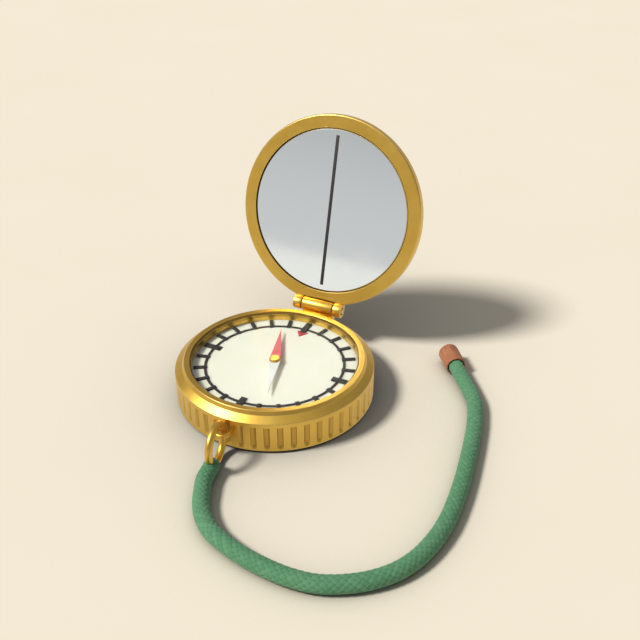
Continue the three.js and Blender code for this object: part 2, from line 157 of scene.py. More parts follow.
@dataclass
class Shell:
    """One closed surface in millimetres, with corner UVs and marks on its points."""

    points: Array
    quads: Array
    tris: Array
    quad_uv: Array
    tri_uv: Array
    marks: dict[str, Array]

    @staticmethod
    def over(grid: Array, loop: bool = False, poles: Array | None = None,
             uv: tuple[Array, Array] | None = None, **marks: Array) -> "Shell":
        """Closes a grid of points P[row, column] into a shell.

        The columns always run round and meet. The rows run round and meet too where loop is set; otherwise
        each end is closed by a fan to a pole, the mean of the end row. UVs are lengths in millimetres: u is
        the summed step along the widest row, v the mean summed step from row to row.

        Args:
            grid: Points of shape (rows, columns, 3).
            loop: Whether the last row meets the first.
            poles: The two fan centres, where they aren't the means of the end rows.
            uv: Own u (columns + 1) and v (rows) in place of the lengths.
            marks: Values for each row, or for each row and column; an edge mark of 0 where there are none.

        Returns:
            The shell, with its faces outward.
        """
        rows, columns = grid.shape[:2]
        marks = marks or {"edge": np.zeros(rows)}
        index = np.arange(rows * columns).reshape(rows, columns)
        index = np.concatenate([index, index[:, :1]], 1)
        wide = np.concatenate([grid, grid[:, :1]], 1)
        steps = np.linalg.norm(np.diff(wide, axis=1), axis=2)
        rise = np.linalg.norm(np.diff(grid, axis=0), axis=2).mean(1)
        u = np.append(0, np.cumsum(steps[steps.sum(1).argmax()]))
        v = np.append(0, np.cumsum(rise))
        if uv is not None:
            u, v = uv
        points = grid.reshape(-1, 3)
        values = {}
        for key, mark in marks.items():
            level = mark if np.ndim(mark) == 2 else np.asarray(mark, float)[:, None]
            values[key] = np.broadcast_to(level, (rows, columns)).ravel()
        tris, tri_uv = np.empty((0, 3), int), np.empty((0, 3, 2))
        if loop:
            index = np.concatenate([index, index[:1]], 0)
            v = np.append(v, v[-1] + np.linalg.norm(grid[0] - grid[-1], axis=1).mean())
        else:
            ends = poles if poles is not None else np.stack([grid[0].mean(0), grid[-1].mean(0)])
            first = len(points)
            points = np.concatenate([points, ends])
            values = {k: np.append(m, [m[:columns].mean(), m[-columns:].mean()]) for k, m in values.items()}
            a, b = index[0, :-1], index[0, 1:]
            c, d = index[-1, :-1], index[-1, 1:]
            tris = np.concatenate([np.stack([np.full(columns, first), b, a], 1),
                                   np.stack([np.full(columns, first + 1), c, d], 1)])
            low = v[0] - np.linalg.norm(grid[0] - ends[0], axis=1).mean()
            high = v[-1] + np.linalg.norm(grid[-1] - ends[1], axis=1).mean()
            mid = (u[:-1] + u[1:]) / 2
            fans = (low, v[0], u[1:], u[:-1]), (high, v[-1], u[:-1], u[1:])
            tri_uv = np.concatenate([
                np.stack([np.stack([x, np.full(columns, y)], 1) for x, y in ((mid, h), (p, e), (q, e))], 1)
                for h, e, p, q in fans])
        corner = np.stack(np.meshgrid(u, v), -1)
        quads = corners_of(index).reshape(-1, 4)
        quad_uv = corners_of(corner).reshape(-1, 4, 2)
        made = Shell(points, quads, tris, quad_uv, tri_uv, values)
        return made if made.volume() > 0 else made.flipped()

    def volume(self) -> float:
        """Sums the signed volume under each face: a . (b x c) / 6."""
        faces = np.concatenate([self.quads[:, [0, 1, 2]], self.quads[:, [0, 2, 3]], self.tris])
        a, b, c = (self.points[faces[:, i]] for i in range(3))
        return float((a * np.cross(b, c)).sum() / 6)

    def flipped(self) -> "Shell":
        """Gives the same shell with its faces turned round."""
        return replace(self, quads=self.quads[:, ::-1], tris=self.tris[:, ::-1],
                       quad_uv=self.quad_uv[:, ::-1], tri_uv=self.tri_uv[:, ::-1])

    def moved(self, turn: Array = np.eye(3), shift: Array | float = 0.0) -> "Shell":
        """Gives the shell turned by a 3 x 3 matrix and then shifted."""
        return replace(self, points=self.points @ turn.T + shift)


def eased(corners: list, ease: float | Eases, loop: bool = False, steps: int = 4) -> tuple[Array, Array]:
    """Rounds an outline's corners by c + e (1-t)^2 (to the last corner) + e t^2 (to the next corner).

    Args:
        corners: Corner points in order, with the outside on the right of the way along.
        ease: How far from its corner a rounding starts, for all or for each; at most 0.3 of a side.
        loop: Whether the outline closes on itself.
        steps: Steps in each rounding.

    Returns:
        The points, and a mark that is 1 in the middle of an outer corner and -1 in an inner one.
    """
    c = np.asarray(corners, float)
    before, after = np.roll(c, 1, 0) - c, np.roll(c, -1, 0) - c
    back, ahead = np.linalg.norm(before, axis=1), np.linalg.norm(after, axis=1)
    e = np.minimum(np.minimum(back, ahead) * 0.3, ease)
    if not loop:
        e[[0, -1]] = 0
    before, after = before / back[:, None], after / ahead[:, None]
    t = np.linspace(0, 1, steps + 1)
    in_step = np.concatenate([[HOLD], (1 - t) ** 2, [0]])[None, :, None]
    out_step = np.concatenate([[0], t ** 2, [HOLD]])[None, :, None]
    points = c[:, None] + e[:, None, None] * (in_step * before[:, None] + out_step * after[:, None])
    side = np.sign(before[:, 1] * after[:, 0] - before[:, 0] * after[:, 1])
    mark = side[:, None] * np.concatenate([[0], 4 * t * (1 - t), [0]])
    points, mark = points.reshape(-1, 2), mark.ravel()
    keep = np.linalg.norm(points - np.roll(points, 1, 0), axis=1) > 1e-6
    keep[0] = keep[0] or not loop
    return points[keep], mark[keep]


def carried(profile: Array, angles: Array) -> Array:
    """Gives the grid (r cos a, r sin a, z) of a profile at the given angles."""
    r, z = profile[:, :1], profile[:, 1:]
    return grid_of(r * np.cos(angles), r * np.sin(angles), z)


def turned(corners: list, ease: float | Eases, loop: bool = False, sides: int = FINE) -> Shell:
    """Carries an eased profile of (radius, height) round +Z: (r cos a, r sin a, z).

    Args:
        corners: The profile's corners.
        ease: The rounding of its corners.
        loop: Whether the profile is a closed section.
        sides: Steps in the full turn.

    Returns:
        The turned shell, with its edge marks.
    """
    profile, mark = eased(corners, ease, loop)
    return Shell.over(carried(profile, around(sides)), loop, edge=mark)


def outward(outline: Array) -> Array:
    """Gives the unit normals of a closed outline, on the right of the way along."""
    step = np.roll(outline, -1, 0) - np.roll(outline, 1, 0)
    normal = np.stack([step[:, 1], -step[:, 0]], 1)
    return normal / np.linalg.norm(normal, axis=1, keepdims=True)


def plate(outline: Array, bottom: float, top: float, ease: float) -> Shell:
    """Raises an outline from bottom to top and draws it in by the ease at the upper edge.

    Args:
        outline: Points (x, y) of a convex closed outline.
        bottom: Height of the under side.
        top: Height of the upper side.
        ease: Rounding of the upper edge.

    Returns:
        The plate, marked along its upper edge.
    """
    inset = np.array([0, 0, 0.3, 1]) * ease
    down = np.array([0, 1, 0.3, 0]) * ease * np.sign(top - bottom)
    level = np.array([bottom, top, top, top]) - down
    flat = outline[None] - inset[:, None, None] * outward(outline)[None]
    grid = grid_of(flat[..., 0], flat[..., 1], level[:, None])
    return Shell.over(grid, edge=np.array([0, 0.4, 1, 0.3]))


def swept(path: Array, radius: Array, sides: int, uv: tuple[Array, Array] | None = None,
          **marks: Array) -> Shell:
    """Carries a circle along a level path: p + r (cos a side + sin a lift), side = way x up.

    Args:
        path: Centre points of shape (rows, 3).
        radius: Radii that broadcast to (rows, sides).
        sides: Points round the section.
        uv: Own u and v for the shell.
        marks: Marks for the shell.

    Returns:
        The closed tube.
    """
    way = np.gradient(path, axis=0)
    way /= np.linalg.norm(way, axis=1, keepdims=True)
    side = np.cross(way, [0, 0, 1])
    side /= np.linalg.norm(side, axis=1, keepdims=True)
    lift = np.cross(side, way)
    a = around(sides)[None, :, None]
    r = np.broadcast_to(radius, (len(path), sides))[..., None]
    grid = path[:, None] + r * (np.cos(a) * side[:, None] + np.sin(a) * lift[:, None])
    return Shell.over(grid, uv=uv, **marks)


def turn_about(axis: str, degrees: float) -> Array:
    """Gives the 3 x 3 matrix that turns by an angle about x or z."""
    c, s = math.cos(math.radians(degrees)), math.sin(math.radians(degrees))
    return np.array([[1, 0, 0], [0, c, -s], [0, s, c]] if axis == "x" else [[c, -s, 0], [s, c, 0], [0, 0, 1]])


def linked(name: str, data: bpy.types.ID) -> bpy.types.Object:
    """Makes an object of a mesh, lamp or camera and puts it into the scene."""
    made = bpy.data.objects.new(name, data)
    bpy.context.scene.collection.objects.link(made)
    return made


def piece(name: str, shells: list[Shell], look: Look, body: Body, nodes: tuple[str, ...],
          sharp: float = 32) -> bpy.types.Object:
    """Puts shells into one object that stands for CAD nodes.

    Args:
        name: The piece's name.
        shells: Its closed surfaces, in millimetres.
        look: Its material.
        body: The body that it rides on.
        nodes: The CAD nodes that it replaces.
        sharp: The angle in degrees from which an edge stays sharp.

    Returns:
        The object, at the origin.
    """
    base = np.cumsum([0] + [len(s.points) for s in shells])
    quads = np.concatenate([s.quads + b for s, b in zip(shells, base)])
    tris = np.concatenate([s.tris + b for s, b in zip(shells, base)])
    uv = np.concatenate([g.reshape(-1, 2) for g in [s.quad_uv for s in shells] + [s.tri_uv for s in shells]])
    mesh = bpy.data.meshes.new(name)
    mesh.from_pydata(np.concatenate([s.points for s in shells]) * MM, [], quads.tolist() + tris.tolist())
    mesh.uv_layers.new(name=UV_NAME).uv.foreach_set("vector", uv.astype(np.float32).ravel())
    for key in shells[0].marks:
        values = np.concatenate([s.marks[key] for s in shells]).astype(np.float32)
        mesh.attributes.new(key, "FLOAT", "POINT").data.foreach_set("value", values)
    mesh.polygons.foreach_set("use_smooth", np.ones(len(mesh.polygons), bool))
    mesh.set_sharp_from_angle(angle=math.radians(sharp))
    mesh.materials.append(look)
    made = linked(name, mesh)
    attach(made, body.value)
    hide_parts(*nodes)
    LOG.info("%s: %d faces for %s", name, len(mesh.polygons), ", ".join(nodes))
    return made


@dataclass(frozen=True)
class Finish:
    """A material with one Principled shader."""

    name: str

    def start(self, values: dict) -> tuple[Look, Tree, Node]:
        """Makes the material and its shader.

        Args:
            values: Plain values for the shader's inputs.

        Returns:
            The material, its node tree and the shader node.
        """
        made = bpy.data.materials.new(self.name)
        made.use_nodes = True
        tree = made.node_tree
        tree.nodes.clear()
        shader = add(tree, "BsdfPrincipled", values)
        add(tree, "OutputMaterial", {"Surface": shader})
        return made, tree, shader

    @staticmethod
    def layered(tree: Tree, base: str, *layers: tuple[Node, str]) -> Socket:
        """Lays colours over a base colour.

        Args:
            tree: The node tree.
            base: The lowest colour.
            layers: Pairs of a share from 0 to 1 and a colour, from the lowest up.

        Returns:
            The socket that gives the mixed colour.
        """
        tone = linear(base)
        for share, colour in layers:
            tone = add(tree, "Mix", {0: share, 6: tone, 7: linear(colour)}, data_type="RGBA").outputs[2]
        return tone


@dataclass(frozen=True)
class WorkedBrass(Finish):
    """Yellow brass, turned or drawn, thinly lacquered.

    The eye gets a warm mirror blurred by fine tool marks, pale rubbed edges, brown in the corners, and the
    same brown as painted shade where a piece marks a surface -1. The real marks lie about 0.1 mm apart and
    would vanish in the picture, so they are drawn four times as coarse.
    """

    run: Run = Run.ROUND
    colour: str = "#e8bd58"
    aged: str = "#deb14d"
    rubbed: str = "#f4d58c"
    patina_and_shade: str = "#967333"
    mark_mm: float = 0.42
    mark_depth: float = 1.2e-6
    cloud_mm: float = 9.0
    smear_mm: float = 2.4
    rough: Pair = (0.34, 0.4)
    wear: float = 0.75
    patina_and_shade_amount: float = 0.62
    cloud_span: Pair = (0.35, 0.7)
    smear_span: Pair = (0.3, 0.75)
    wear_span: Pair = (0.15, 1.0)
    patina_and_shade_span: Pair = (-0.1, -1.0)

    def material(self) -> Look:
        """Builds the brass from tool marks, slow ageing and rubbed edges. Patina browns its corners, and the
        same brown paints shade where a piece marks it.
        """
        made, t, shader = self.start({"Metallic": 1.0})
        flat = add(t, "UVMap", uv_map=UV_NAME)
        across = add(t, "SeparateXYZ", {0: flat}).outputs[self.run.value]
        place = add(t, "TexCoord").outputs["Object"]
        marks = add(t, "TexNoise", {"W": across, "Scale": 1 / self.mark_mm, "Detail": 2.0},
                    noise_dimensions="1D")
        clouds, smears = (
            add(t, "TexNoise", {"Vector": place, "Scale": 1 / (size * MM), "Detail": detail})
            for size, detail in ((self.cloud_mm, 3.0), (self.smear_mm, 4.0)))
        edge = add(t, "Attribute", attribute_name="edge").outputs["Fac"]
        # Patina goes into inner corners through dark, which also lays painted shade where a piece marks a
        # surface -1.
        ageing, bright, dark, rough = (
            add(t, "MapRange", dict(enumerate(span)))
            for span in ((clouds, *self.cloud_span), (edge, *self.wear_span, 0.0, self.wear),
                         (edge, *self.patina_and_shade_span, 0.0, self.patina_and_shade_amount), (smears, *self.smear_span, *self.rough)))
        tone = self.layered(t, self.colour, (ageing, self.aged), (bright, self.rubbed), (dark, self.patina_and_shade))
        relief = add(t, "Bump", {"Height": marks, "Distance": self.mark_depth, "Strength": 1.0})
        give(t, shader, {"Base Color": tone, "Roughness": rough, "Normal": relief})
        return made


@dataclass(frozen=True)
class Coating(Finish):
    """An opaque coat or moulding: enamel, ink, paint or rubber.

    The eye gets an even colour with slow patches, fine specks and a faint orange-peel gloss. A milky coat
    also spreads light sideways below its surface, which softens narrow shadows.
    """

    colour: str = "#ffffff"
    patch: str = "#f0f0f0"
    speck: str = "#e0e0e0"
    rough: Pair = (0.35, 0.5)
    patch_mm: float = 3.0
    speck_mm: float = 0.3
    peel_mm: float = 0.6
    peel_depth: float = 1.5e-6
    speckled: float = 0.6
    coat: float = 0.0
    coat_rough: float = 0.12
    scatter_mm: float = 0.0
    scatter_share: float = 0.0
    patch_span: Pair = (0.38, 0.66)
    speck_span: Pair = (0.62, 0.72)

    def material(self) -> Look:
        """Builds the coat from patches, specks and orange peel."""
        made, t, shader = self.start({
            "Coat Weight": self.coat, "Coat Roughness": self.coat_rough,
            "Subsurface Weight": self.scatter_share, "Subsurface Radius": (1.0, 1.0, 1.0),
            "Subsurface Scale": self.scatter_mm * MM})
        shader.subsurface_method = "BURLEY"
        place = add(t, "TexCoord").outputs["Object"]
        patches, specks, peel = (
            add(t, "TexNoise", {"Vector": place, "Scale": 1 / (size * MM), "Detail": 3.0})
            for size in (self.patch_mm, self.speck_mm, self.peel_mm))
        slow, fine, gloss = (
            add(t, "MapRange", dict(enumerate(span)))
            for span in ((patches, *self.patch_span), (specks, *self.speck_span, 0.0, self.speckled),
                         (peel, 0.0, 1.0, *self.rough)))
        relief = add(t, "Bump", {"Height": peel, "Distance": self.peel_depth, "Strength": 1.0})
        tone = self.layered(t, self.colour, (slow, self.patch), (fine, self.speck))
        give(t, shader, {"Base Color": tone, "Roughness": gloss, "Normal": relief})
        return made


@dataclass(frozen=True)
class SilveredGlass(Finish):
    """Float glass silvered on its face, cool in tone, with faint wiping smears and a dull ground bevel."""

    tint: str = "#fafefc"
    ground: str = "#8f979a"
    smear_mm: float = 6.0
    rough: Pair = (0.06, 0.09)
    ground_rough: float = 0.4
    smear_span: Pair = (0.35, 0.75)
    bevel_span: Pair = (0.05, 0.6)

    def material(self) -> Look:
        """Builds the mirror from its tint, smears and ground edge."""
        made, t, shader = self.start({"Metallic": 1.0})
        place = add(t, "TexCoord").outputs["Object"]
        smear = add(t, "TexNoise", {"Vector": place, "Scale": 1 / (self.smear_mm * MM), "Detail": 5.0,
                                    "Distortion": 0.6})
        edge = add(t, "Attribute", attribute_name="edge").outputs["Fac"]
        bevel, wiped = (add(t, "MapRange", dict(enumerate(span)))
                        for span in ((edge, *self.bevel_span), (smear, *self.smear_span, *self.rough)))
        rough = add(t, "Mix", {0: bevel, 2: wiped, 3: self.ground_rough}, data_type="FLOAT")
        tone = self.layered(t, self.tint, (bevel, self.ground))
        give(t, shader, {"Base Color": tone, "Roughness": rough})
        return made


@dataclass(frozen=True)
class ClearGlass(Finish):
    """Polished mineral glass with an anti-glare coat: clear, with a faint gloss and the slightest smears.

    The coat makes it reflect as a far lighter medium would, so the index is lower than bare glass has. Light
    on its way to the dial goes straight through, so that the dial is lit once and not by caustics too.
    """

    tint: str = "#fbfffd"
    index: float = 1.06
    smear_mm: float = 5.0
    rough: Pair = (0.0, 0.02)
    smear_span: Pair = (0.45, 0.8)

    def material(self) -> Look:
        """Builds the glass from transmission and slight smears in its gloss."""
        made, t, shader = self.start({
            "Base Color": linear(self.tint), "Transmission Weight": 1.0, "IOR": self.index})
        place = add(t, "TexCoord").outputs["Object"]
        smear = add(t, "TexNoise", {"Vector": place, "Scale": 1 / (self.smear_mm * MM), "Detail": 4.0})
        rough = add(t, "MapRange", dict(enumerate((smear, *self.smear_span, *self.rough))))
        give(t, shader, {"Roughness": rough})
        rays = add(t, "LightPath").outputs
        open_way = add(t, "BsdfTransparent")
        lit = shader
        for kind in ("Is Diffuse Ray", "Is Shadow Ray"):
            lit = add(t, "MixShader", {0: rays[kind], 1: lit, 2: open_way})
        give(t, t.nodes["Material Output"], {"Surface": lit})
        return made


@dataclass(frozen=True)
class BraidedPolyester(Finish):
    """Braided polyester cord: matt crossing yarns of fine filaments with painted shade in the gaps, and a
    soft sheen.

    Eight yarns run each way. Yarn numbers are A = 8 u + v / cell and B = 8 u - v / cell, with u in turns and
    v in millimetres, and A lies on top where floor(A) + floor(B) is even. The filaments are drawn eight to a
    yarn, coarser than real, so that they show.
    """

    yarns: int
    cell_mm: float
    colour: str = "#5d916a"
    shade: str = "#477c56"
    gap_shade: str = "#285236"
    pale: str = "#76a57e"
    sheen: str = "#bfe3c9"
    filaments: float = 8.0
    fibre_depth: float = 4e-5
    faded: float = 0.35
    shaded: float = 0.8
    strand_span: Pair = (0.25, 0.75)
    gap_shade_span: Pair = (0.0, 0.55)

    def material(self) -> Look:
        """Builds the braid's colour and fibre relief from its yarn numbers."""
        made, t, shader = self.start({
            "Roughness": 0.82, "Specular IOR Level": 0.3, "Sheen Weight": 0.25, "Sheen Roughness": 0.5,
            "Sheen Tint": linear(self.sheen)})
        flat = add(t, "UVMap", uv_map=UV_NAME)
        u, v, _ = add(t, "SeparateXYZ", {0: flat}).outputs
        along = add(t, "Math", {0: v, 1: self.cell_mm}, operation="DIVIDE")
        turns = add(t, "Math", {0: u, 1: self.yarns}, operation="MULTIPLY")
        a, b = (add(t, "Math", {0: turns, 1: along}, operation=kind)
                for kind in ("ADD", "SUBTRACT"))
        cells = [add(t, "Math", {0: x}, operation="FLOOR") for x in (a, b)]
        both = add(t, "Math", dict(enumerate(cells)), operation="ADD")
        under = add(t, "Math", {0: both, 1: 2.0}, operation="FLOORED_MODULO")
        fibre, yarn = (add(t, "Mix", {0: under, 2: x, 3: y}, data_type="FLOAT")
                       for x, y in ((a, b), cells))
        strands = add(t, "TexNoise", {"W": fibre, "Scale": self.filaments, "Detail": 2.0},
                      noise_dimensions="1D")
        dye = add(t, "TexWhiteNoise", {"W": yarn}, noise_dimensions="1D")
        crown = add(t, "Attribute", attribute_name="crown").outputs["Fac"]
        # lit paints light and shade along the filaments; deep paints shade into the gaps between yarns.
        lit, fade, deep = (
            add(t, "MapRange", dict(enumerate(span)))
            for span in ((strands, *self.strand_span), (dye, 0.0, 1.0, 0.0, self.faded),
                         (crown, *self.gap_shade_span, self.shaded, 0.0)))
        tone = self.layered(t, self.shade, (lit, self.colour), (fade, self.pale), (deep, self.gap_shade))
        relief = add(t, "Bump", {"Height": strands, "Distance": self.fibre_depth, "Strength": 0.8})
        give(t, shader, {"Base Color": tone, "Normal": relief})
        return made


@dataclass(frozen=True)
class StainedBeech(Finish):
    """Turned beech with a red-brown stain: long fine grain, short dark flecks and a dull wiped surface."""

    turn: float
    colour: str = "#b27552"
    grain: str = "#97603f"
    fleck: str = "#6c4128"
    grain_mm: float = 0.7
    fleck_mm: float = 0.35
    stretch: float = 7.0
    rough: Pair = (0.48, 0.68)
    grain_depth: float = 2e-5
    flecked: float = 0.7
    hollow_dark: float = 0.8
    grain_span: Pair = (0.4, 0.68)
    fleck_span: Pair = (0.63, 0.7)

    def material(self) -> Look:
        """Builds the wood from grain and flecks stretched along the bead."""
        made, t, shader = self.start({"Specular IOR Level": 0.35})
        place = add(t, "TexCoord").outputs["Object"]
        yaw = (0, 0, -math.radians(self.turn))
        along = add(t, "Mapping", {"Vector": place, "Rotation": yaw})
        pulled = add(t, "Mapping", {"Vector": along, "Scale": (1, 1 / self.stretch, 1)})
        lines, spots = (
            add(t, "TexNoise", {"Vector": pulled, "Scale": 1 / (size * MM), "Detail": detail,
                                "Distortion": bend})
            for size, detail, bend in ((self.grain_mm, 4.0, 0.4), (self.fleck_mm, 2.0, 0.0)))
        edge = add(t, "Attribute", attribute_name="edge").outputs["Fac"]
        band, dots, hollow, rough = (
            add(t, "MapRange", dict(enumerate(span)))
            for span in ((lines, *self.grain_span), (spots, *self.fleck_span, 0.0, self.flecked),
                         (edge, 0.0, -1.0, 0.0, self.hollow_dark), (lines, 0.0, 1.0, *self.rough)))
        tone = self.layered(t, self.colour, (band, self.grain), (dots, self.fleck), (hollow, self.fleck))
        relief = add(t, "Bump", {"Height": lines, "Distance": self.grain_depth, "Strength": 0.6})
        give(t, shader, {"Base Color": tone, "Roughness": rough, "Normal": relief})
        return made


@dataclass(frozen=True)
class MattPaper(Finish):
    """Plain matt paper, faintly mottled, that darkens softly where things stand close to it.

    The darkening is painted shade in the paper's colour: the open share of the sky within reach, raised to a
    power below 1, as under a broad soft room. Metal sees the paper glow evenly, without cast shadows but with
    the same painted shade, in a cooler tone.
    """

    colour: str = "#f2e8d5"
    mottle: str = "#f0e6d2"
    mottle_mm: float = 60.0
    reach_mm: float = 60.0
    shade_softness: float = 0.6
    bounce: str = "#eae8e4"

    def material(self) -> Look:
        """Builds the paper from its mottling and the open share of the sky."""
        made, t, shader = self.start({"Roughness": 0.95, "Specular IOR Level": 0.0})
        place = add(t, "TexCoord").outputs["Object"]
        cloud = add(t, "TexNoise", {"Vector": place, "Scale": 1 / (self.mottle_mm * MM), "Detail": 3.0})
        paper = self.layered(t, self.colour, (cloud, self.mottle))
        # Painted shade: the open share of the sky darkens the paper's colour.
        sky = add(t, "AmbientOcclusion", {"Distance": self.reach_mm * MM}, samples=8).outputs["AO"]
        share = add(t, "Math", {0: sky, 1: self.shade_softness}, operation="POWER")
        tone = add(t, "Mix", {0: 1.0, 6: paper, 7: share}, data_type="RGBA", blend_type="MULTIPLY")
        give(t, shader, {"Base Color": tone.outputs[2]})
        # Glossy rays see the paper as a glow, which also carries the painted shade.
        even = add(t, "Emission", {"Color": linear(self.bounce), "Strength": share})
        glossy = add(t, "LightPath").outputs["Is Glossy Ray"]
        seen = add(t, "MixShader", {0: glossy, 1: shader, 2: even})
        give(t, t.nodes["Material Output"], {"Surface": seen})
        made.cycles.emission_sampling = "NONE"
        return made


@dataclass
class Studio:
    """Floor, light and the camera at the photograph's angle."""

    eye: Triple = (0.09035, -0.16704, 0.14126)
    azimuth: float = 24.706
    elevation: float = 32.014
    lens: float = 47.64
    sensor: float = 36.0
    clip: Pair = (0.005, 20.0)
    sun_way: Triple = (-0.515, -0.417, 0.749)
    sun_power: float = 3.2
    sun_spread: float = 13.0
    sun_colour: str = "#fffefb"
    floor_size: float = 3.0
    room: str = "#fcfdff"
    fill: float = 0.28
    backdrop: float = 0.58
    upper: float = 0.32
    upper_rise: Pair = (0.02, 0.3)
    overhead: float = 0.62
    overhead_rise: Pair = (0.8, 0.95)

    def camera(self) -> None:
        """Sets the camera on the fitted line of sight: the way back is (sin a cos e, -cos a cos e, sin e)."""
        a, e = math.radians(self.azimuth), math.radians(self.elevation)
        back = Vector((math.sin(a) * math.cos(e), -math.cos(a) * math.cos(e), math.sin(e)))
        data = bpy.data.cameras.new("camera")
        data.lens, data.sensor_width = self.lens, self.sensor
        data.clip_start, data.clip_end = self.clip
        made = linked("camera", data)
        made.location = self.eye
        made.rotation_mode = "QUATERNION"
        made.rotation_quaternion = (-back).to_track_quat("-Z", "Y")
        bpy.context.scene.camera = made

    def light(self) -> None:
        """Adds the soft key light and a pale world that fills the shadows.

        Light that the brass and the mirror throw onto matt pieces is left out: it spots the paper and the
        dial. Matt pieces see an even fill. Metal and glass see a room that is pale at the horizon, darker
        above it and pale again overhead.
        """
        bpy.context.scene.cycles.caustics_reflective = False
        lamp = bpy.data.lights.new("key_light", "SUN")
        lamp.energy, lamp.angle = self.sun_power, math.radians(self.sun_spread)
        lamp.color = linear(self.sun_colour)[:3]
        key = linked("key_light", lamp)
        key.rotation_mode = "QUATERNION"
        key.rotation_quaternion = Vector(self.sun_way).to_track_quat("Z", "Y")
        world = bpy.data.worlds.new("studio")
        bpy.context.scene.world = world
        world.use_nodes = True
        t = world.node_tree
        t.nodes.clear()
        rays = add(t, "LightPath").outputs
        way = add(t, "TexCoord").outputs["Generated"]
        rise = add(t, "SeparateXYZ", {0: way}).outputs["Z"]
        shine = self.backdrop
        for (low, high), level in ((self.upper_rise, self.upper), (self.overhead_rise, self.overhead)):
            shine = add(t, "MapRange", {0: rise, 1: low, 2: high, 3: shine, 4: level},
                        interpolation_type="SMOOTHSTEP")
        bent = add(t, "Math", {0: rays["Is Glossy Ray"], 1: rays["Is Transmission Ray"]},
                   operation="MAXIMUM")
        direct = add(t, "Math", {0: rays["Diffuse Depth"], 1: 0.5}, operation="LESS_THAN")
        mirrored = add(t, "Math", {0: bent, 1: direct}, operation="MULTIPLY")
        level = self.fill
        for share, seen in ((mirrored, shine), (rays["Is Camera Ray"], self.backdrop)):
            level = add(t, "Mix", {0: share, 2: level, 3: seen}, data_type="FLOAT")
        mixed = add(t, "Background", {"Color": linear(self.room), "Strength": level})
        add(t, "OutputWorld", {"Surface": mixed})

    def floor(self) -> None:
        """Lays a level sheet of matt paper under the object."""
        h = self.floor_size
        mesh = bpy.data.meshes.new("floor")
        mesh.from_pydata([(x, y, 0) for x, y in box(-h, h, -h, h)], [], [(0, 1, 2, 3)])
        mesh.materials.append(MattPaper("matt_paper").material())
        made = linked("floor", mesh)


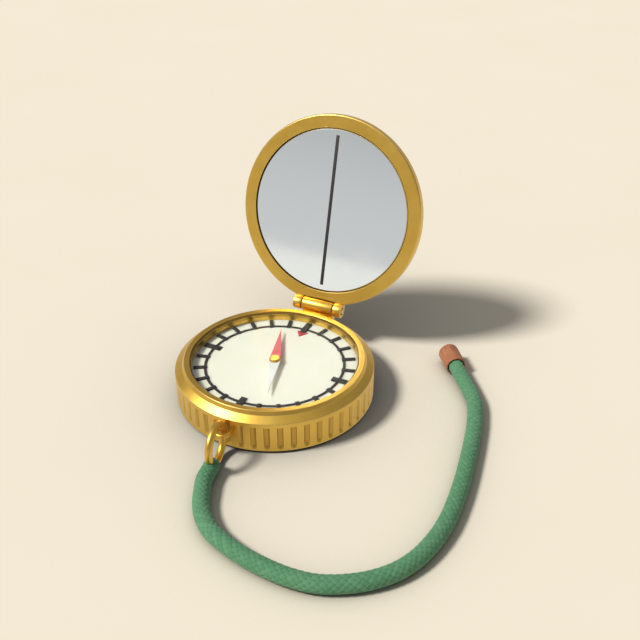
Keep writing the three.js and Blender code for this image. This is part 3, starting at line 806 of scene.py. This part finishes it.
@dataclass
class Case:
    """Fluted cup, bezel, crystal and its gasket."""

    brass: Look
    glass: Look
    rubber: Look
    radius: float = 27.0
    foot_rise: float = 0.8
    foot_inset: float = 2.2
    wall_top: float = 9.2
    shoulder_width: float = 1.95
    shoulder_rise: float = 1.3
    rim_radius: float = radius - shoulder_width
    rim_top: float = wall_top + shoulder_rise
    fit: float = 0.3
    lip_width: float = 0.75
    skirt: float = rim_radius - lip_width
    bore: float = skirt + fit
    bezel_wall: float = 1.68
    well: float = skirt - bezel_wall
    dial_drop: float = 0.6
    dial_face: float = wall_top - dial_drop
    dial_thickness: float = 0.8
    ledge: float = dial_face - dial_thickness
    ledge_width: float = 1.8
    cavity: float = skirt - ledge_width
    floor: float = 1.5
    flutes: int = 50
    flute_shift: float = 0.15
    cutter: float = 0.85
    depth: float = 0.6
    flute_low: float = 1.3
    flute_head: float = 1.1
    flute_high: float = wall_top - flute_head
    run_out: float = 0.9
    burr_gap: float = 0.02
    burr_width: float = 0.09
    burr_wear: float = 0.9
    flute_dirt: float = 0.75
    well_rise: float = 1.25
    well_top: float = dial_face + well_rise
    seat_lip: float = 0.12
    bezel_rise: float = 0.95
    bezel_top: float = rim_top + bezel_rise
    bezel_bevel: float = 0.6
    bezel_chamfer: float = 0.12
    seat_width: float = 0.2
    crystal_radius: float = well + seat_width
    crystal_gap: float = 0.16
    crystal_recess: float = 0.05
    crystal_top: float = bezel_top - crystal_recess
    crystal_thickness: float = 0.5
    crystal_play: float = 0.01
    gasket_thickness: float = 0.2
    gasket_width: float = 0.25
    foot_ease: float = 0.12
    cup_eases: Eases = (0.1, 0.14, 0.08, 0.06, 0.05, 0.1, 0.1, 0.1)
    flute_ease: float = 0.03
    row_gaps: Pair = (0.04, 0.1)
    bezel_ease: float = 0.08
    crystal_ease: float = 0.02
    gasket_ease: float = 0.05

    def build_cup(self) -> None:
        """Turns the cup and cuts its flutes.

        The wall's radius is R - g(z) max(0, sqrt(c^2 - x^2) - (c - depth)), the mark of a round cutter of
        radius c at x along the wall from the flute's middle. g is 1 along the flute, stops short at its upper
        end and runs out in a slope at its lower end.
        """
        foot, head = self.flute_low + self.run_out, self.flute_high
        below, above = self.row_gaps
        low, low_mark = eased([(0, 0), (self.radius - self.foot_inset, 0), (self.radius, self.foot_rise),
                               (self.radius, self.flute_low - below)], self.foot_ease)
        high, high_mark = eased(
            [(self.radius, head + above), (self.radius, self.wall_top), (self.rim_radius, self.rim_top),
             (self.bore, self.rim_top), (self.bore, self.ledge), (self.cavity, self.ledge),
             (self.cavity, self.floor), (0, self.floor)], self.cup_eases)
        # Rows crowd at the flutes' ends, and columns at their sides, where the wall bends most.
        z = np.concatenate([np.linspace(self.flute_low, foot, 7), np.linspace(foot + 0.2, head - 0.2, 18),
                            head + np.array([-0.08, -0.04, -0.015, 0, 0.03])])
        wall = np.stack([np.full(len(z), self.radius), z], 1)
        profile = np.concatenate([low, wall, high])
        mark = np.concatenate([low_mark, np.zeros(len(z)), high_mark])
        half = math.sqrt(self.cutter**2 - (self.cutter - self.depth) ** 2)
        beside = half + np.array([0.05, 0.13])
        within = np.sin(np.linspace(-1, 1, 11) * np.pi / 2) * half
        side = np.concatenate([-beside[::-1], within, beside, [np.pi * self.radius / self.flutes]])
        middle = -np.pi / 2 + (np.arange(self.flutes) + self.flute_shift) * 2 * np.pi / self.flutes
        angles = (middle[:, None] + side[None] / self.radius).ravel()
        x = np.tile(side, self.flutes)
        grid = carried(profile, angles)
        cut = np.sqrt(np.clip(self.cutter**2 - x**2, 0, None)) - (self.cutter - self.depth)
        on_wall = np.abs(profile[:, 0] - self.radius) < 1e-6
        ends = [self.flute_low, foot, head - self.flute_ease, head]
        g = np.interp(profile[:, 1], ends, [0, 1, 1, 0]) * on_wall
        sunk = g[:, None] * np.clip(cut, 0, None)[None]
        grid[..., :2] *= (1 - sunk / np.maximum(profile[:, :1], 1e-9))[..., None]
        burr = g[:, None] * np.exp(-((np.abs(x) - half - self.burr_gap) / self.burr_width) ** 2)[None]
        edge = np.clip(mark[:, None] + self.burr_wear * burr - self.flute_dirt * sunk / self.depth, -1, 1)
        cup = Shell.over(grid, edge=edge)
        piece("case_cup", [cup], self.brass, Body.CASE, ("case_body",))

    def build_top(self) -> None:
        """Turns the bevelled bezel, the crystal and the gasket between them.

        Painted shade darkens the bezel's inner wall below the crystal's seat, in the brass's corner brown.
        """
        under = self.crystal_top - self.crystal_thickness
        seat = under - self.gasket_thickness
        mouth = self.crystal_radius + self.crystal_gap
        bezel = turned([(self.well, self.dial_face), (self.skirt, self.dial_face), (self.skirt, self.rim_top),
                        (self.rim_radius, self.rim_top), (self.rim_radius - self.bezel_bevel, self.bezel_top),
                        (mouth + self.bezel_chamfer, self.bezel_top),
                        (mouth, self.bezel_top - self.bezel_chamfer), (mouth, seat),
                        (self.well - self.seat_lip, seat), (self.well, self.well_top)],
                       self.bezel_ease, loop=True)
        inside = np.hypot(bezel.points[:, 0], bezel.points[:, 1]) < self.well + self.seat_lip
        # Painted shade: this stretch of the inner wall gets the full corner brown.
        painted_shade_wall = inside & (bezel.points[:, 2] > self.well_top)
        bezel.marks["edge"] = np.where(painted_shade_wall, -1.0, bezel.marks["edge"])
        piece("bezel", [bezel], self.brass, Body.CASE, ("bezel_ring",))
        r = mouth - self.crystal_play
        lens = turned(box(0, r, under, self.crystal_top), self.crystal_ease)
        piece("crystal_glass", [lens], self.glass, Body.CASE, ("crystal",))
        outer = self.crystal_radius
        seal = turned(box(outer - self.gasket_width, outer, seat, under), self.gasket_ease, loop=True)
        piece("gasket", [seal], self.rubber, Body.CASE, ("crystal_gasket",))


@dataclass
class Dial:
    """Enamelled dial plate with its raised scale and north mark."""

    enamel: Look
    ink: Look
    red: Look
    radius: float = Case.skirt
    hole: float = 1.0
    under: float = Case.ledge
    face: float = Case.dial_face
    line_top: float = face + 0.2
    tick_top: float = face + 0.4
    scale_inset: float = 3.72
    scale_radius: float = Case.well - scale_inset
    line_width: float = 0.76
    ticks: int = 24
    tick_inset: float = 0.52
    tick_end: float = Case.well - tick_inset
    tick_width: float = 1.1
    tick_reach: float = 0.55
    main_every: int = 6
    main_width: float = 1.7
    main_reach: float = 1.9
    mark_width: float = 3.5
    mark_lap: float = 0.5
    mark_length: float = 2.6
    mark_gap: float = 0.05
    mark_ease: float = 0.05
    plate_ease: float = 0.08
    line_ease: float = 0.05
    tick_ease: float = 0.1
    tick_edge: float = 0.08

    def build_plate(self) -> None:
        """Turns the flat plate with its hole for the pivot."""
        disc = turned(box(self.hole, self.radius, self.under, self.face), self.plate_ease, loop=True)
        piece("dial", [disc], self.enamel, Body.CASE, ("dial_plate",))

    def build_scale(self) -> None:
        """Raises the ring and its ticks, an outline of each tick turned to (2 pi i / count)."""
        inner, outer = self.scale_radius - self.line_width / 2, self.scale_radius + self.line_width / 2
        shells = [turned(box(inner, outer, self.face, self.line_top), self.line_ease, loop=True)]
        for i in range(self.ticks):
            main = i % self.main_every == 0
            half = (self.main_width if main else self.tick_width) / 2
            start = self.scale_radius - (self.main_reach if main else self.tick_reach)
            outline, _ = eased(box(-half, half, start, self.tick_end), self.tick_ease, loop=True)
            bar = plate(outline, self.face, self.tick_top, self.tick_edge)
            shells.append(bar.moved(turn_about("z", 360 * i / self.ticks)))
        piece("dial_print", shells, self.ink, Body.CASE, ("dial_scale",))

    def build_north(self) -> None:
        """Paints the red arrowhead.

        y runs from tip + slope |x| up to the arrowhead's base, or to the notch round the north tick.
        """
        half, notch = self.mark_width / 2, self.main_width / 2 + self.mark_gap
        base = self.scale_radius - self.main_reach + self.mark_lap
        tip = base - self.mark_length
        right = np.array([notch / 2, notch, notch + 0.01, (notch + half) / 2, half - 0.03, half])
        x = np.concatenate([-right[::-1], [0], right])
        low = tip + self.mark_length / half * np.abs(x)
        high = np.where(np.abs(x) > notch + 0.005, base, base - self.mark_lap - self.mark_gap)
        e = np.minimum(self.mark_ease, (high - low) / 3)
        y = np.stack([low, high, high, high - e, low + e, low], 1)
        z = self.face + np.array([0, 0, 0.75, 1, 1, 0.75]) * (self.line_top - self.face)
        grid = grid_of(x[:, None], y, z[None])
        piece("north_arrow", [Shell.over(grid)], self.red, Body.CASE, ("north_mark",))


@dataclass
class Needle:
    """Flat diamond needle, half red and half white, under a brass cap."""

    red: Look
    white: Look
    brass: Look
    rest_turn: float = 20.3
    tip_gap: float = 3.7
    half_length: float = Dial.scale_radius - tip_gap
    half_width: float = 1.625
    tip_share: float = 0.004
    split: float = 0.01
    lift: float = 1.15
    under: float = Dial.face + lift
    thickness: float = 0.3
    ease: float = 0.04
    hub: float = 0.75
    hub_drop: float = 0.2
    bore: float = 0.5
    bore_depth: float = 0.75
    cap_radius: float = 1.6
    cap_top: float = 1.27
    cap_height: float = 0.7
    cap_eases: Eases = (0, 0.04, 0.04, 0.04, 0.04, 0.08, 0.1, 0)
    cap_sides: int = 64

    def build_blade(self, name: str, side: int, look: Look, node: str) -> None:
        """Draws one half: half width w (1 - y / L) at y from the middle, flat above and below, eased above.

        Args:
            name: The piece's name.
            side: 1 for the half that points along +Y, -1 for the other.
            look: Its paint.
            node: The CAD node that it replaces.
        """
        end = self.half_length
        y = np.concatenate([np.linspace(self.split, end - 0.4, 14), [end - 0.12, end]])
        w = self.half_width * np.clip(1 - y / end, self.tip_share, 1)[:, None]
        ease = np.minimum(self.ease, w / 3)
        x = np.concatenate([-w, w, w, w - ease, ease - w, -w], 1)
        top = self.under + self.thickness
        z = np.array([self.under, self.under, top - self.ease, top, top, top - self.ease])
        grid = grid_of(x, side * y[:, None], z[None])
        placed = Shell.over(grid).moved(turn_about("z", self.rest_turn))
        piece(name, [placed], look, Body.NEEDLE, (node,), sharp=20)

    def build(self) -> None:
        """Makes both halves and the turned cap."""
        self.build_blade("needle_red_half", 1, self.red, "needle_north")
        self.build_blade("needle_white_half", -1, self.white, "needle_south")
        low = self.under - self.hub_drop
        roof = low + self.bore_depth
        seat = self.under + self.thickness
        top = seat + self.cap_height
        cap = turned([(0, roof), (self.bore, roof), (self.bore, low), (self.hub, low), (self.hub, seat),
                      (self.cap_radius, seat), (self.cap_top, top), (0, top)], self.cap_eases,
                     sides=self.cap_sides)
        piece("needle_button", [cap], self.brass, Body.NEEDLE, ("needle_cap",))


@dataclass
class Hinge:
    """Bracket on the case wall with the middle knuckle, its screws and the pin."""

    brass: Look
    standoff: float = 1.3
    lid_gap: float = 0.25
    drop: float = 0.1
    axis: Pair = (Case.radius + standoff, Case.bezel_top + lid_gap - drop)
    knuckle_radius: float = 2.0
    knuckle_ease: float = 0.14
    knuckle_step: float = 0.04
    knuckle_sides: int = 64
    bore: float = 1.1
    half_width: float = 4.8
    seat: float = Case.radius + Case.fit
    leaf_thickness: float = 1.3
    leaf_face: float = seat + leaf_thickness
    leaf_height: float = 7.0
    leaf_low: float = Case.wall_top - leaf_height
    leaf_high: float = Case.wall_top - drop
    leaf_eases: Eases = (0.1, 0.25, 0.8, 0.3, 0.3, 0.05, 0.05, 0.05)
    web_drop: float = 1.8
    web: float = Case.wall_top - web_drop
    stop_reach: float = 3.7
    stop_thickness: float = 1.5
    stop_step: float = 0.05
    end_inset: float = 0.15
    end_step: float = 0.04
    pole: Pair = (28.0, 8.3)
    pin_radius: float = 0.8
    pin_half: float = 7.6
    pin_dome: float = 0.25
    pin_bend: float = 0.72
    pin_ease: float = 0.1
    screw_height: float = (leaf_low + web) / 2
    screw_spread: float = 2.6
    screw_turns: Pair = (62, -17)
    screw_radius: float = 0.8
    screw_end: float = 24.0
    head_radius: float = 1.6
    slot_half: float = 0.2
    slot_floor: float = leaf_face + 0.4
    slot_lap: float = 0.02
    head_top: float = leaf_face + 0.8
    head_ease: float = 0.12
    screw_ease: float = 0.05
    sides: int = 40

    def knuckle(self, outline: Array, x0: float, x1: float) -> Shell:
        """Carries an outline about the pin along x, with eased ends and the pin's bore.

        Args:
            outline: Points (y, z) about the pin's axis, star-shaped and counter-clockwise.
            x0: One end.
            x1: The other end.

        Returns:
            The bored knuckle about the axis.
        """
        angle = np.maximum.accumulate(np.unwrap(np.arctan2(outline[:, 1], outline[:, 0])))
        hole = arc(self.bore, angle)
        ease, step = self.knuckle_ease, self.knuckle_step
        drawn = outline - ease * outward(outline)
        part = outline - step * outward(outline)
        section = np.stack([hole, drawn, part, outline, outline, part, drawn, hole])
        x = np.array([x0, x0, x0 + step, x0 + ease, x1 - ease, x1 - step, x1, x1])
        mark = np.array([-0.6, 0.3, 1, 0, 0, 1, 0.3, -0.6])
        return Shell.over(grid_of(x[:, None], section[..., 0], section[..., 1]), loop=True, edge=mark)

    def build_bracket(self) -> None:
        """Makes the leaf, its stop lip and the middle knuckle.

        The leaf's section is carried along x, drawn in at both ends, and its inner face follows the case
        wall, y = sqrt(seat^2 - x^2).
        """
        pin_y, pin_z = self.axis
        stop_out, stop_low = pin_y + self.stop_reach, pin_z - self.stop_thickness
        outline, mark = eased(
            [(self.seat, self.leaf_low), (self.leaf_face, self.leaf_low), (self.leaf_face, self.web),
             (stop_out, stop_low), (stop_out, pin_z), (pin_y, pin_z), (self.seat + self.stop_step, stop_low),
             (self.seat, self.leaf_high)], self.leaf_eases, loop=True)
        h, far, near = self.half_width, self.end_inset, self.end_step
        right = np.array([h - far, h - near, h])
        x = np.concatenate([-right[::-1], np.linspace(-h + 0.4, h - 0.4, 13), right])
        inset = np.concatenate([[far, near, 0], np.zeros(13), [0, near, far]])
        flat = outline[None] - inset[:, None, None] * outward(outline)[None]
        inner = (outline[:, 0] < self.seat + 0.04) & (outline[:, 1] < self.leaf_high + 0.06)
        wall = np.sqrt(self.seat**2 - x**2) - self.seat
        y = flat[..., 0] + wall[:, None] * inner[None]
        grid = grid_of(x[:, None], y, flat[..., 1])
        rim = np.clip(inset / near, 0, 1) * (inset < far)
        ends = np.array([[-h, *self.pole], [h, *self.pole]])
        arm = Shell.over(grid, poles=ends, edge=np.maximum(mark[None], rim[:, None]))
        circle = arc(self.knuckle_radius, around(self.knuckle_sides))
        middle = self.knuckle(circle, -h, h).moved(shift=np.array([0, *self.axis]))
        piece("hinge_bracket_cast", [arm, middle], self.brass, Body.CASE, ("hinge_bracket",))

    def build_pin(self) -> None:
        """Turns the pin with domed ends and lays it along x."""
        top, bend = self.pin_half + self.pin_dome, self.pin_half + self.pin_bend * self.pin_dome
        upper = [(self.pin_radius, self.pin_half), (self.pin_radius - self.pin_dome, bend), (0, top)]
        local = turned([(r, -z) for r, z in upper[::-1]] + upper, self.pin_ease, sides=self.sides)
        turn = np.array([[0, 0, 1], [1, 0, 0], [0, 1, 0]])
        rod = local.moved(turn, np.array([0, *self.axis]))
        piece("hinge_rod", [rod], self.brass, Body.CASE, ("hinge_pin",))

    def build_screws(self) -> None:
        """Makes slotted cheese-head screws: a turned body and two raised half heads with the slot between."""
        head, low = self.head_radius, self.slot_floor + self.slot_lap
        end = math.acos(self.slot_half / head)
        half = arc(head, np.linspace(-end, end, self.sides))
        body = turned([(0, self.screw_end), (self.screw_radius, self.screw_end),
                       (self.screw_radius, self.leaf_face), (head, self.leaf_face), (head, low), (0, low)],
                      self.screw_ease, sides=self.sides)
        cheeks = [plate(half * s, self.slot_floor, self.head_top, self.head_ease) for s in (1, -1)]
        turn = np.array([[1, 0, 0], [0, 0, 1], [0, -1, 0]])
        for word, side, tilt in zip(("left", "right"), (-1, 1), self.screw_turns):
            shift = np.array([side * self.screw_spread, 0, self.screw_height])
            whole = turn @ turn_about("z", tilt)
            shells = [s.moved(whole, shift) for s in (body, *cheeks)]
            piece(f"screw_{word}", shells, self.brass, Body.CASE, (f"bracket_screw_{word}",))


@dataclass
class Lid:
    """Round lid with its knuckles, mirror and sight line, opened about the hinge.

    It is built closed, with its heights above the pin's axis, and then opened.
    """

    brass: Look
    silver: Look
    ink: Look
    hinge: Hinge
    open_angle: float = 104.75
    overhang: float = 0.4
    radius: float = Case.radius + overhang
    rim: float = 3.7
    face: float = Hinge.drop
    thickness: float = 2.8
    back: float = face + thickness
    well_depth: float = 2.2
    face_chamfer: float = 0.3
    back_chamfer: float = 0.6
    face_eases: Eases = (0, 0.1, 0.1, 0.12, 0.12, 0)
    back_ease: float = 0.2
    side_rows: Pair = (0.8, 1.9)
    row_gap: float = 0.1
    sides: int = 180
    relief: float = Hinge.knuckle_radius + Case.fit
    knuckle_in: float = Hinge.half_width + Case.fit
    knuckle_out: float = Hinge.pin_half
    knuckle_steps: int = 56
    tab_lap: float = 3.4
    tab_sunk: float = 0.08
    tab_ease: float = 0.2
    mirror_gap: float = 0.25
    mirror_radius: float = radius - rim - mirror_gap
    mirror_bevel: float = 0.2
    mirror_face: float = face + 0.3
    mirror_back: float = mirror_face + 1.2
    mirror_ease: float = 0.06
    sight_half: float = 0.46
    sight_inset: float = 1.7
    sight_end: float = mirror_radius - sight_inset
    sight_under: float = mirror_face - 0.02
    sight_top: float = sight_under - 0.12
    sight_ease: float = 0.12
    sight_edge: float = 0.04

    def opened(self, shell: Shell) -> Shell:
        """Turns a shell from the closed lid's place about the pin to the open one."""
        return shell.moved(turn_about("x", -self.open_angle), np.array([0, *self.hinge.axis]))

    def build_shell(self) -> None:
        """Turns the disc with its mirror recess, scallops its rim and adds the outer knuckles.

        Points between the knuckles that lie nearer the pin than the relief are pushed back to
        y = -sqrt(r^2 - z^2).
        """
        face, back, edge = self.face, self.back, self.radius
        floor, well = face + self.well_depth, edge - self.rim
        front, rear, margin = self.face_chamfer, self.back_chamfer, self.row_gap
        z = np.linspace(*self.side_rows, 8)
        top, mark_top = eased([(0, floor), (well, floor), (well, face), (edge - front, face),
                               (edge, face + front), (edge, z[0] - margin)], self.face_eases)
        low, mark_low = eased([(edge, z[-1] + margin), (edge, back - rear), (edge - rear, back),
                               (0, back)], self.back_ease)
        profile = np.concatenate([top, np.stack([np.full(len(z), edge), z], 1), low])
        mark = np.concatenate([mark_top, np.zeros(len(z)), mark_low])
        step = math.asin(self.knuckle_in / self.radius)
        # Two columns close together at each knuckle's inner side make the step there.
        near = np.array([-0.0012, 0.0012])
        angles = np.concatenate([around(self.sides), np.pi / 2 + step + near, np.pi / 2 - step + near])
        grid = carried(profile, np.sort(angles)) - np.array([0, self.hinge.axis[0], 0])
        within = (np.abs(grid[..., 0]) < self.knuckle_in) & (np.abs(grid[..., 2]) < self.relief)
        limit = -np.sqrt(np.clip(self.relief**2 - grid[..., 2] ** 2, 0, None))
        grid[..., 1] = np.where(within, np.minimum(grid[..., 1], limit), grid[..., 1])
        shells = [Shell.over(grid, edge=mark)]
        r = self.hinge.knuckle_radius
        sunk = face + self.tab_sunk
        a = np.linspace(math.pi - math.asin(sunk / r), 2.5 * np.pi, self.knuckle_steps)
        tab, _ = eased([(-0.5, r), (-self.tab_lap, r), (-self.tab_lap, sunk), (-r - 0.2, sunk)],
                       self.tab_ease)
        outline = np.concatenate([arc(r, a), tab])
        for x0, x1 in ((-self.knuckle_out, -self.knuckle_in), (self.knuckle_in, self.knuckle_out)):
            shells.append(self.hinge.knuckle(outline, x0, x1))
        placed = [self.opened(s) for s in shells]
        piece("lid_disc", placed, self.brass, Body.LID, ("lid_shell",))

    def build_mirror(self) -> None:
        """Grinds the mirror's bevelled disc and lays the sight line across it."""
        middle = np.array([0, -self.hinge.axis[0], 0])
        r, face, bevel = self.mirror_radius, self.mirror_face, self.mirror_bevel
        disc = turned([(0, face), (r - bevel, face), (r, face + bevel), (r, self.mirror_back),
                       (0, self.mirror_back)], self.mirror_ease).moved(shift=middle)
        piece("mirror_disc", [self.opened(disc)], self.silver, Body.LID, ("mirror",))
        w, end = self.sight_half, self.sight_end
        outline, _ = eased(box(-w, w, -end, end), self.sight_ease, loop=True)
        line = plate(outline, self.sight_under, self.sight_top, self.sight_edge).moved(shift=middle)
        piece("sight_strip", [self.opened(line)], self.ink, Body.LID, ("sight_line",))


@dataclass
class Lanyard:
    """Wire ring in its staple, with a braided cord that ends in a wooden bead."""

    brass: Look
    ring_radius: float = 5.0
    ring_wire: float = 0.95
    ring_steps: int = 128
    ring_sides: int = 32
    floor_gap: float = 0.15
    pivot_gap: float = 1.25
    pivot: Triple = (0, -Case.radius - pivot_gap, ring_radius + ring_wire + floor_gap)
    rest_turn: float = 10.0
    staple_bow: float = 1.9
    staple_wire: float = 0.55
    staple_sides: int = 24
    staple_depth: float = 2.1
    staple_root: float = staple_depth - Case.radius
    cord_radius: float = 2.07
    cord_height: float = 2.45
    cord_from: float = 7.2
    cord_to: float = 13.66
    cord_points: int = 760
    cord_sides: int = 80
    tip: float = 0.9
    yarns: int = 8
    cell: float = 1.63
    relief: float = 0.17
    bead_mouth: Triple = (43.2, 27.7, 2.85)
    bead_turn: float = 34.9
    bead_inside: float = 1.0
    bead_radius: float = 2.85
    bead_length: float = 7.6
    bead_chamfer: float = 0.35
    bead_ease: float = 0.25
    bead_sides: int = 72
    socket_radius: float = cord_radius + 0.3
    socket_depth: float = 1.3
    route: tuple[Triple, ...] = (
        (3.9, -45.2, 2.3), (5.8, -48.8, 2.12), (8.4, -52.1, 2.1), (11.9, -54.9, 2.1), (16.6, -56.9, 2.1),
        (22, -58.4, 2.1), (28, -59.3, 2.1), (34, -59.5, 2.1), (39.5, -58.7, 2.1), (44.6, -56.5, 2.1),
        (49.3, -53.3, 2.1), (53.2, -49.2, 2.1), (56, -44.3, 2.1), (57.8, -38.5, 2.1), (58.8, -31.5, 2.1),
        (58.8, -24, 2.1), (58.2, -16, 2.1), (57.2, -8, 2.1), (56, 0, 2.1), (54.4, 8, 2.12),
        (52.2, 14.8, 2.2), (48.8, 20.2, 2.4), (45.6, 24.3, 2.75))

    def centreline(self) -> Array:
        """Carries a smooth curve through the route's points.

        Each stretch is the cubic h00 p0 + h10 d m0 + h01 p1 + h11 d m1 over its chord d, with the slopes m
        from the neighbours.

        Returns:
            Points about 0.2 mm apart, in millimetres.
        """
        yaw = math.radians(self.rest_turn)
        out = np.array([math.sin(yaw), -math.cos(yaw), 0])
        foot = np.array([self.pivot[0], self.pivot[1], self.cord_height])
        reach = np.linspace(self.cord_from, self.cord_to, 3)
        turn = math.radians(self.bead_turn)
        mouth = np.array(self.bead_mouth)
        inside = mouth + self.bead_inside * np.array([-math.sin(turn), math.cos(turn), 0])
        p = np.concatenate([foot + reach[:, None] * out, self.route, [mouth, inside]])
        s = lengths(p)
        m = np.gradient(p, s, axis=0)
        at = np.linspace(0, s[-1], self.cord_points)
        i = np.clip(np.searchsorted(s, at, side="right") - 1, 0, len(s) - 2)
        d = (s[i + 1] - s[i])[:, None]
        t = (at - s[i])[:, None] / d
        return ((2 * t**3 - 3 * t**2 + 1) * p[i] + (t**3 - 2 * t**2 + t) * d * m[i]
                + (3 * t**2 - 2 * t**3) * p[i + 1] + (t**3 - t**2) * d * m[i + 1])

    def build_cord(self) -> None:
        """Makes the braided cord and its bead.

        Yarn numbers A = 8 u + v / cell and B = 8 u - v / cell split the tube into cells; a is A's and b is
        B's place across its yarn from -1/2 to 1/2. The crown is cos(pi a)^0.5 cos(pi b)^0.22 where A lies on
        top, and the other way round where B does. The radius is R - relief (1 - crown), rounded off at the
        ring's end.
        """
        path = self.centreline()
        length = lengths(path)
        u = np.linspace(0, 1, self.cord_sides + 1)
        big_a = self.yarns * u[None, :-1] + length[:, None] / self.cell
        big_b = self.yarns * u[None, :-1] - length[:, None] / self.cell
        a, b = big_a - np.floor(big_a) - 0.5, big_b - np.floor(big_b) - 0.5
        over = (np.floor(big_a) + np.floor(big_b)) % 2 < 0.5
        across, along = np.where(over, a, b), np.where(over, b, a)
        crown = np.cos(np.pi * across).clip(0) ** 0.5 * np.cos(np.pi * along).clip(0) ** 0.22
        tip = np.sqrt(np.clip(1 - (1 - length[:, None] / self.tip).clip(0) ** 2, 0.04, 1))
        radius = (self.cord_radius - self.relief * (1 - crown)) * tip
        tube = swept(path, radius, self.cord_sides, uv=(u, length), crown=crown)
        braid = BraidedPolyester("braided_polyester", self.yarns, self.cell).material()
        nodes = ("lanyard_cord", "lanyard_eye")
        cord = piece("cord", [tube], braid, Body.RING, nodes, sharp=60)
        bead = self.build_bead()

    def build_bead(self) -> bpy.types.Object:
        """Turns the wooden bead about the cord's end, with a socket for the cord."""
        r, end, cut = self.bead_radius, self.bead_length, self.bead_chamfer
        inner, deep = self.socket_radius, self.socket_depth
        local = turned([(0, deep), (inner, deep), (inner, 0), (r - cut / 2, 0), (r, cut), (r, end - cut),
                        (r - cut, end), (0, end)], self.bead_ease, sides=self.bead_sides)
        c, s = math.cos(math.radians(self.bead_turn)), math.sin(math.radians(self.bead_turn))
        turn = np.array([[c, 0, -s], [s, 0, c], [0, 1, 0]])
        placed = local.moved(turn, np.array(self.bead_mouth)).flipped()
        wood = StainedBeech("stained_beech", self.bead_turn).material()
        return piece("bead", [placed], wood, Body.RING, ("lanyard_bead",))

    def build_wire(self) -> None:
        """Bends the ring, (0, -R + R cos a, R sin a) with a round wire, and the staple's U."""
        a, b = around(self.ring_steps)[:, None], around(self.ring_sides)[None]
        far = self.ring_radius + self.ring_wire * np.cos(b)
        grid = grid_of(self.ring_wire * np.sin(b), far * np.cos(a) - self.ring_radius, far * np.sin(a))
        shell = Shell.over(grid, loop=True)
        placed = shell.moved(turn_about("z", self.rest_turn), np.array(self.pivot))
        piece("ring", [placed], self.brass, Body.RING, ("lanyard_ring",))
        bow = np.linspace(0, np.pi, 33)
        leg_y = np.linspace(self.staple_root, self.pivot[1], 12, endpoint=False)
        leg_x = np.full(len(leg_y), self.staple_bow)
        x = np.concatenate([leg_x, self.staple_bow * np.cos(bow), -leg_x])
        y = np.concatenate([leg_y, self.pivot[1] - self.staple_bow * np.sin(bow), leg_y[::-1]])
        path = np.stack([x, y, np.full(len(x), self.pivot[2])], 1)
        wire = swept(path, np.array(self.staple_wire), self.staple_sides)
        piece("staple", [wire], self.brass, Body.CASE, ("lanyard_staple",))


def dress(node: str, finish: WorkedBrass | Coating) -> None:
    """Gives a CAD node that stays a material of its own."""
    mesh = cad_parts[node].data
    mesh.materials.clear()
    mesh.materials.append(finish.material())
    LOG.info("%s keeps its solid", node)


def main() -> None:
    """Builds the studio and the compass, piece by piece."""
    logging.basicConfig(level=logging.INFO, format="%(name)s %(message)s")
    bpy.context.scene.view_settings.view_transform = "Standard"
    studio = Studio()
    studio.camera()
    brass = WorkedBrass("turned_brass").material()
    # Drawn wire carries its marks along its length, a little further apart.
    lanyard = Lanyard(WorkedBrass("drawn_brass_wire", Run.ALONG, mark_mm=0.5).material())
    lanyard.build_cord()
    lanyard.build_wire()
    studio.light()
    studio.floor()
    # Matt ink, nearly black and a little warm.
    ink = Coating("screen_printed_ink", "#2a2725", "#302d2a", "#3b3834", (0.55, 0.7), patch_mm=2.0,
                  peel_mm=0.4).material()
    # Deep red paint with a soft gloss.
    red = Coating("red_enamel_paint", "#cb2a33", "#c0242d", "#d84a4f", (0.4, 0.5)).material()
    # Red paint made paler than the north arrow's, as painted light for a more brightly lit needle; glossier
    # under a thin lacquer.
    lit_needle_red = Coating("lit_needle_red_paint", "#ea6d70", "#e46568", "#ef8888", (0.35, 0.45),
                     coat=0.1).material()
    # Clean white paint under lacquer.
    white = Coating("white_enamel_paint", "#f7f7f4", "#f1f1ed", "#e6e6e0", (0.28, 0.4), coat=0.2).material()
    # Milky cream enamel, with broad faint clouds.
    enamel = Coating("cream_dial_enamel", "#fffbe9", "#fdf8e3", "#f6f0d8", (0.38, 0.5), 8.0, 0.45, 0.9,
                     scatter_mm=1.6, scatter_share=0.8).material()
    # Dull brown rubber that shows as a thin line.
    rubber = Coating("moulded_brown_rubber", "#8f6d36", "#86652f", "#97773f", (0.7, 0.85), patch_mm=2.0,
                     peel_mm=0.5).material()
    case = Case(brass, ClearGlass("polished_mineral_glass").material(), rubber)
    case.build_cup()
    case.build_top()
    dial = Dial(enamel, ink, red)
    dial.build_plate()
    dial.build_scale()
    dial.build_north()
    Needle(lit_needle_red, white, brass).build()
    hinge = Hinge(brass)
    hinge.build_bracket()
    hinge.build_pin()
    hinge.build_screws()
    lid = Lid(brass, SilveredGlass("silvered_float_glass").material(), ink, hinge)
    lid.build_shell()
    lid.build_mirror()
    # Grey turned steel, glassy ruby and soft pale foam, all nearly hidden.
    dress("pivot_post", WorkedBrass("turned_steel", Run.ROUND, "#b9bcbf", "#a9acb0", "#e2e5e8", "#6d7074"))
    dress("needle_jewel", Coating("synthetic_ruby", "#a01c38", "#8e1630", "#b83a54", (0.08, 0.15), 1.0, 0.2,
                                  0.4))
    dress("mirror_pad", Coating("cell_foam", "#d6d2c6", "#cbc7ba", "#b9b5a8", (0.85, 0.95), 3.0, 0.6, 0.5))
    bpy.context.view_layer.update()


if __name__ == "__main__":
    main()
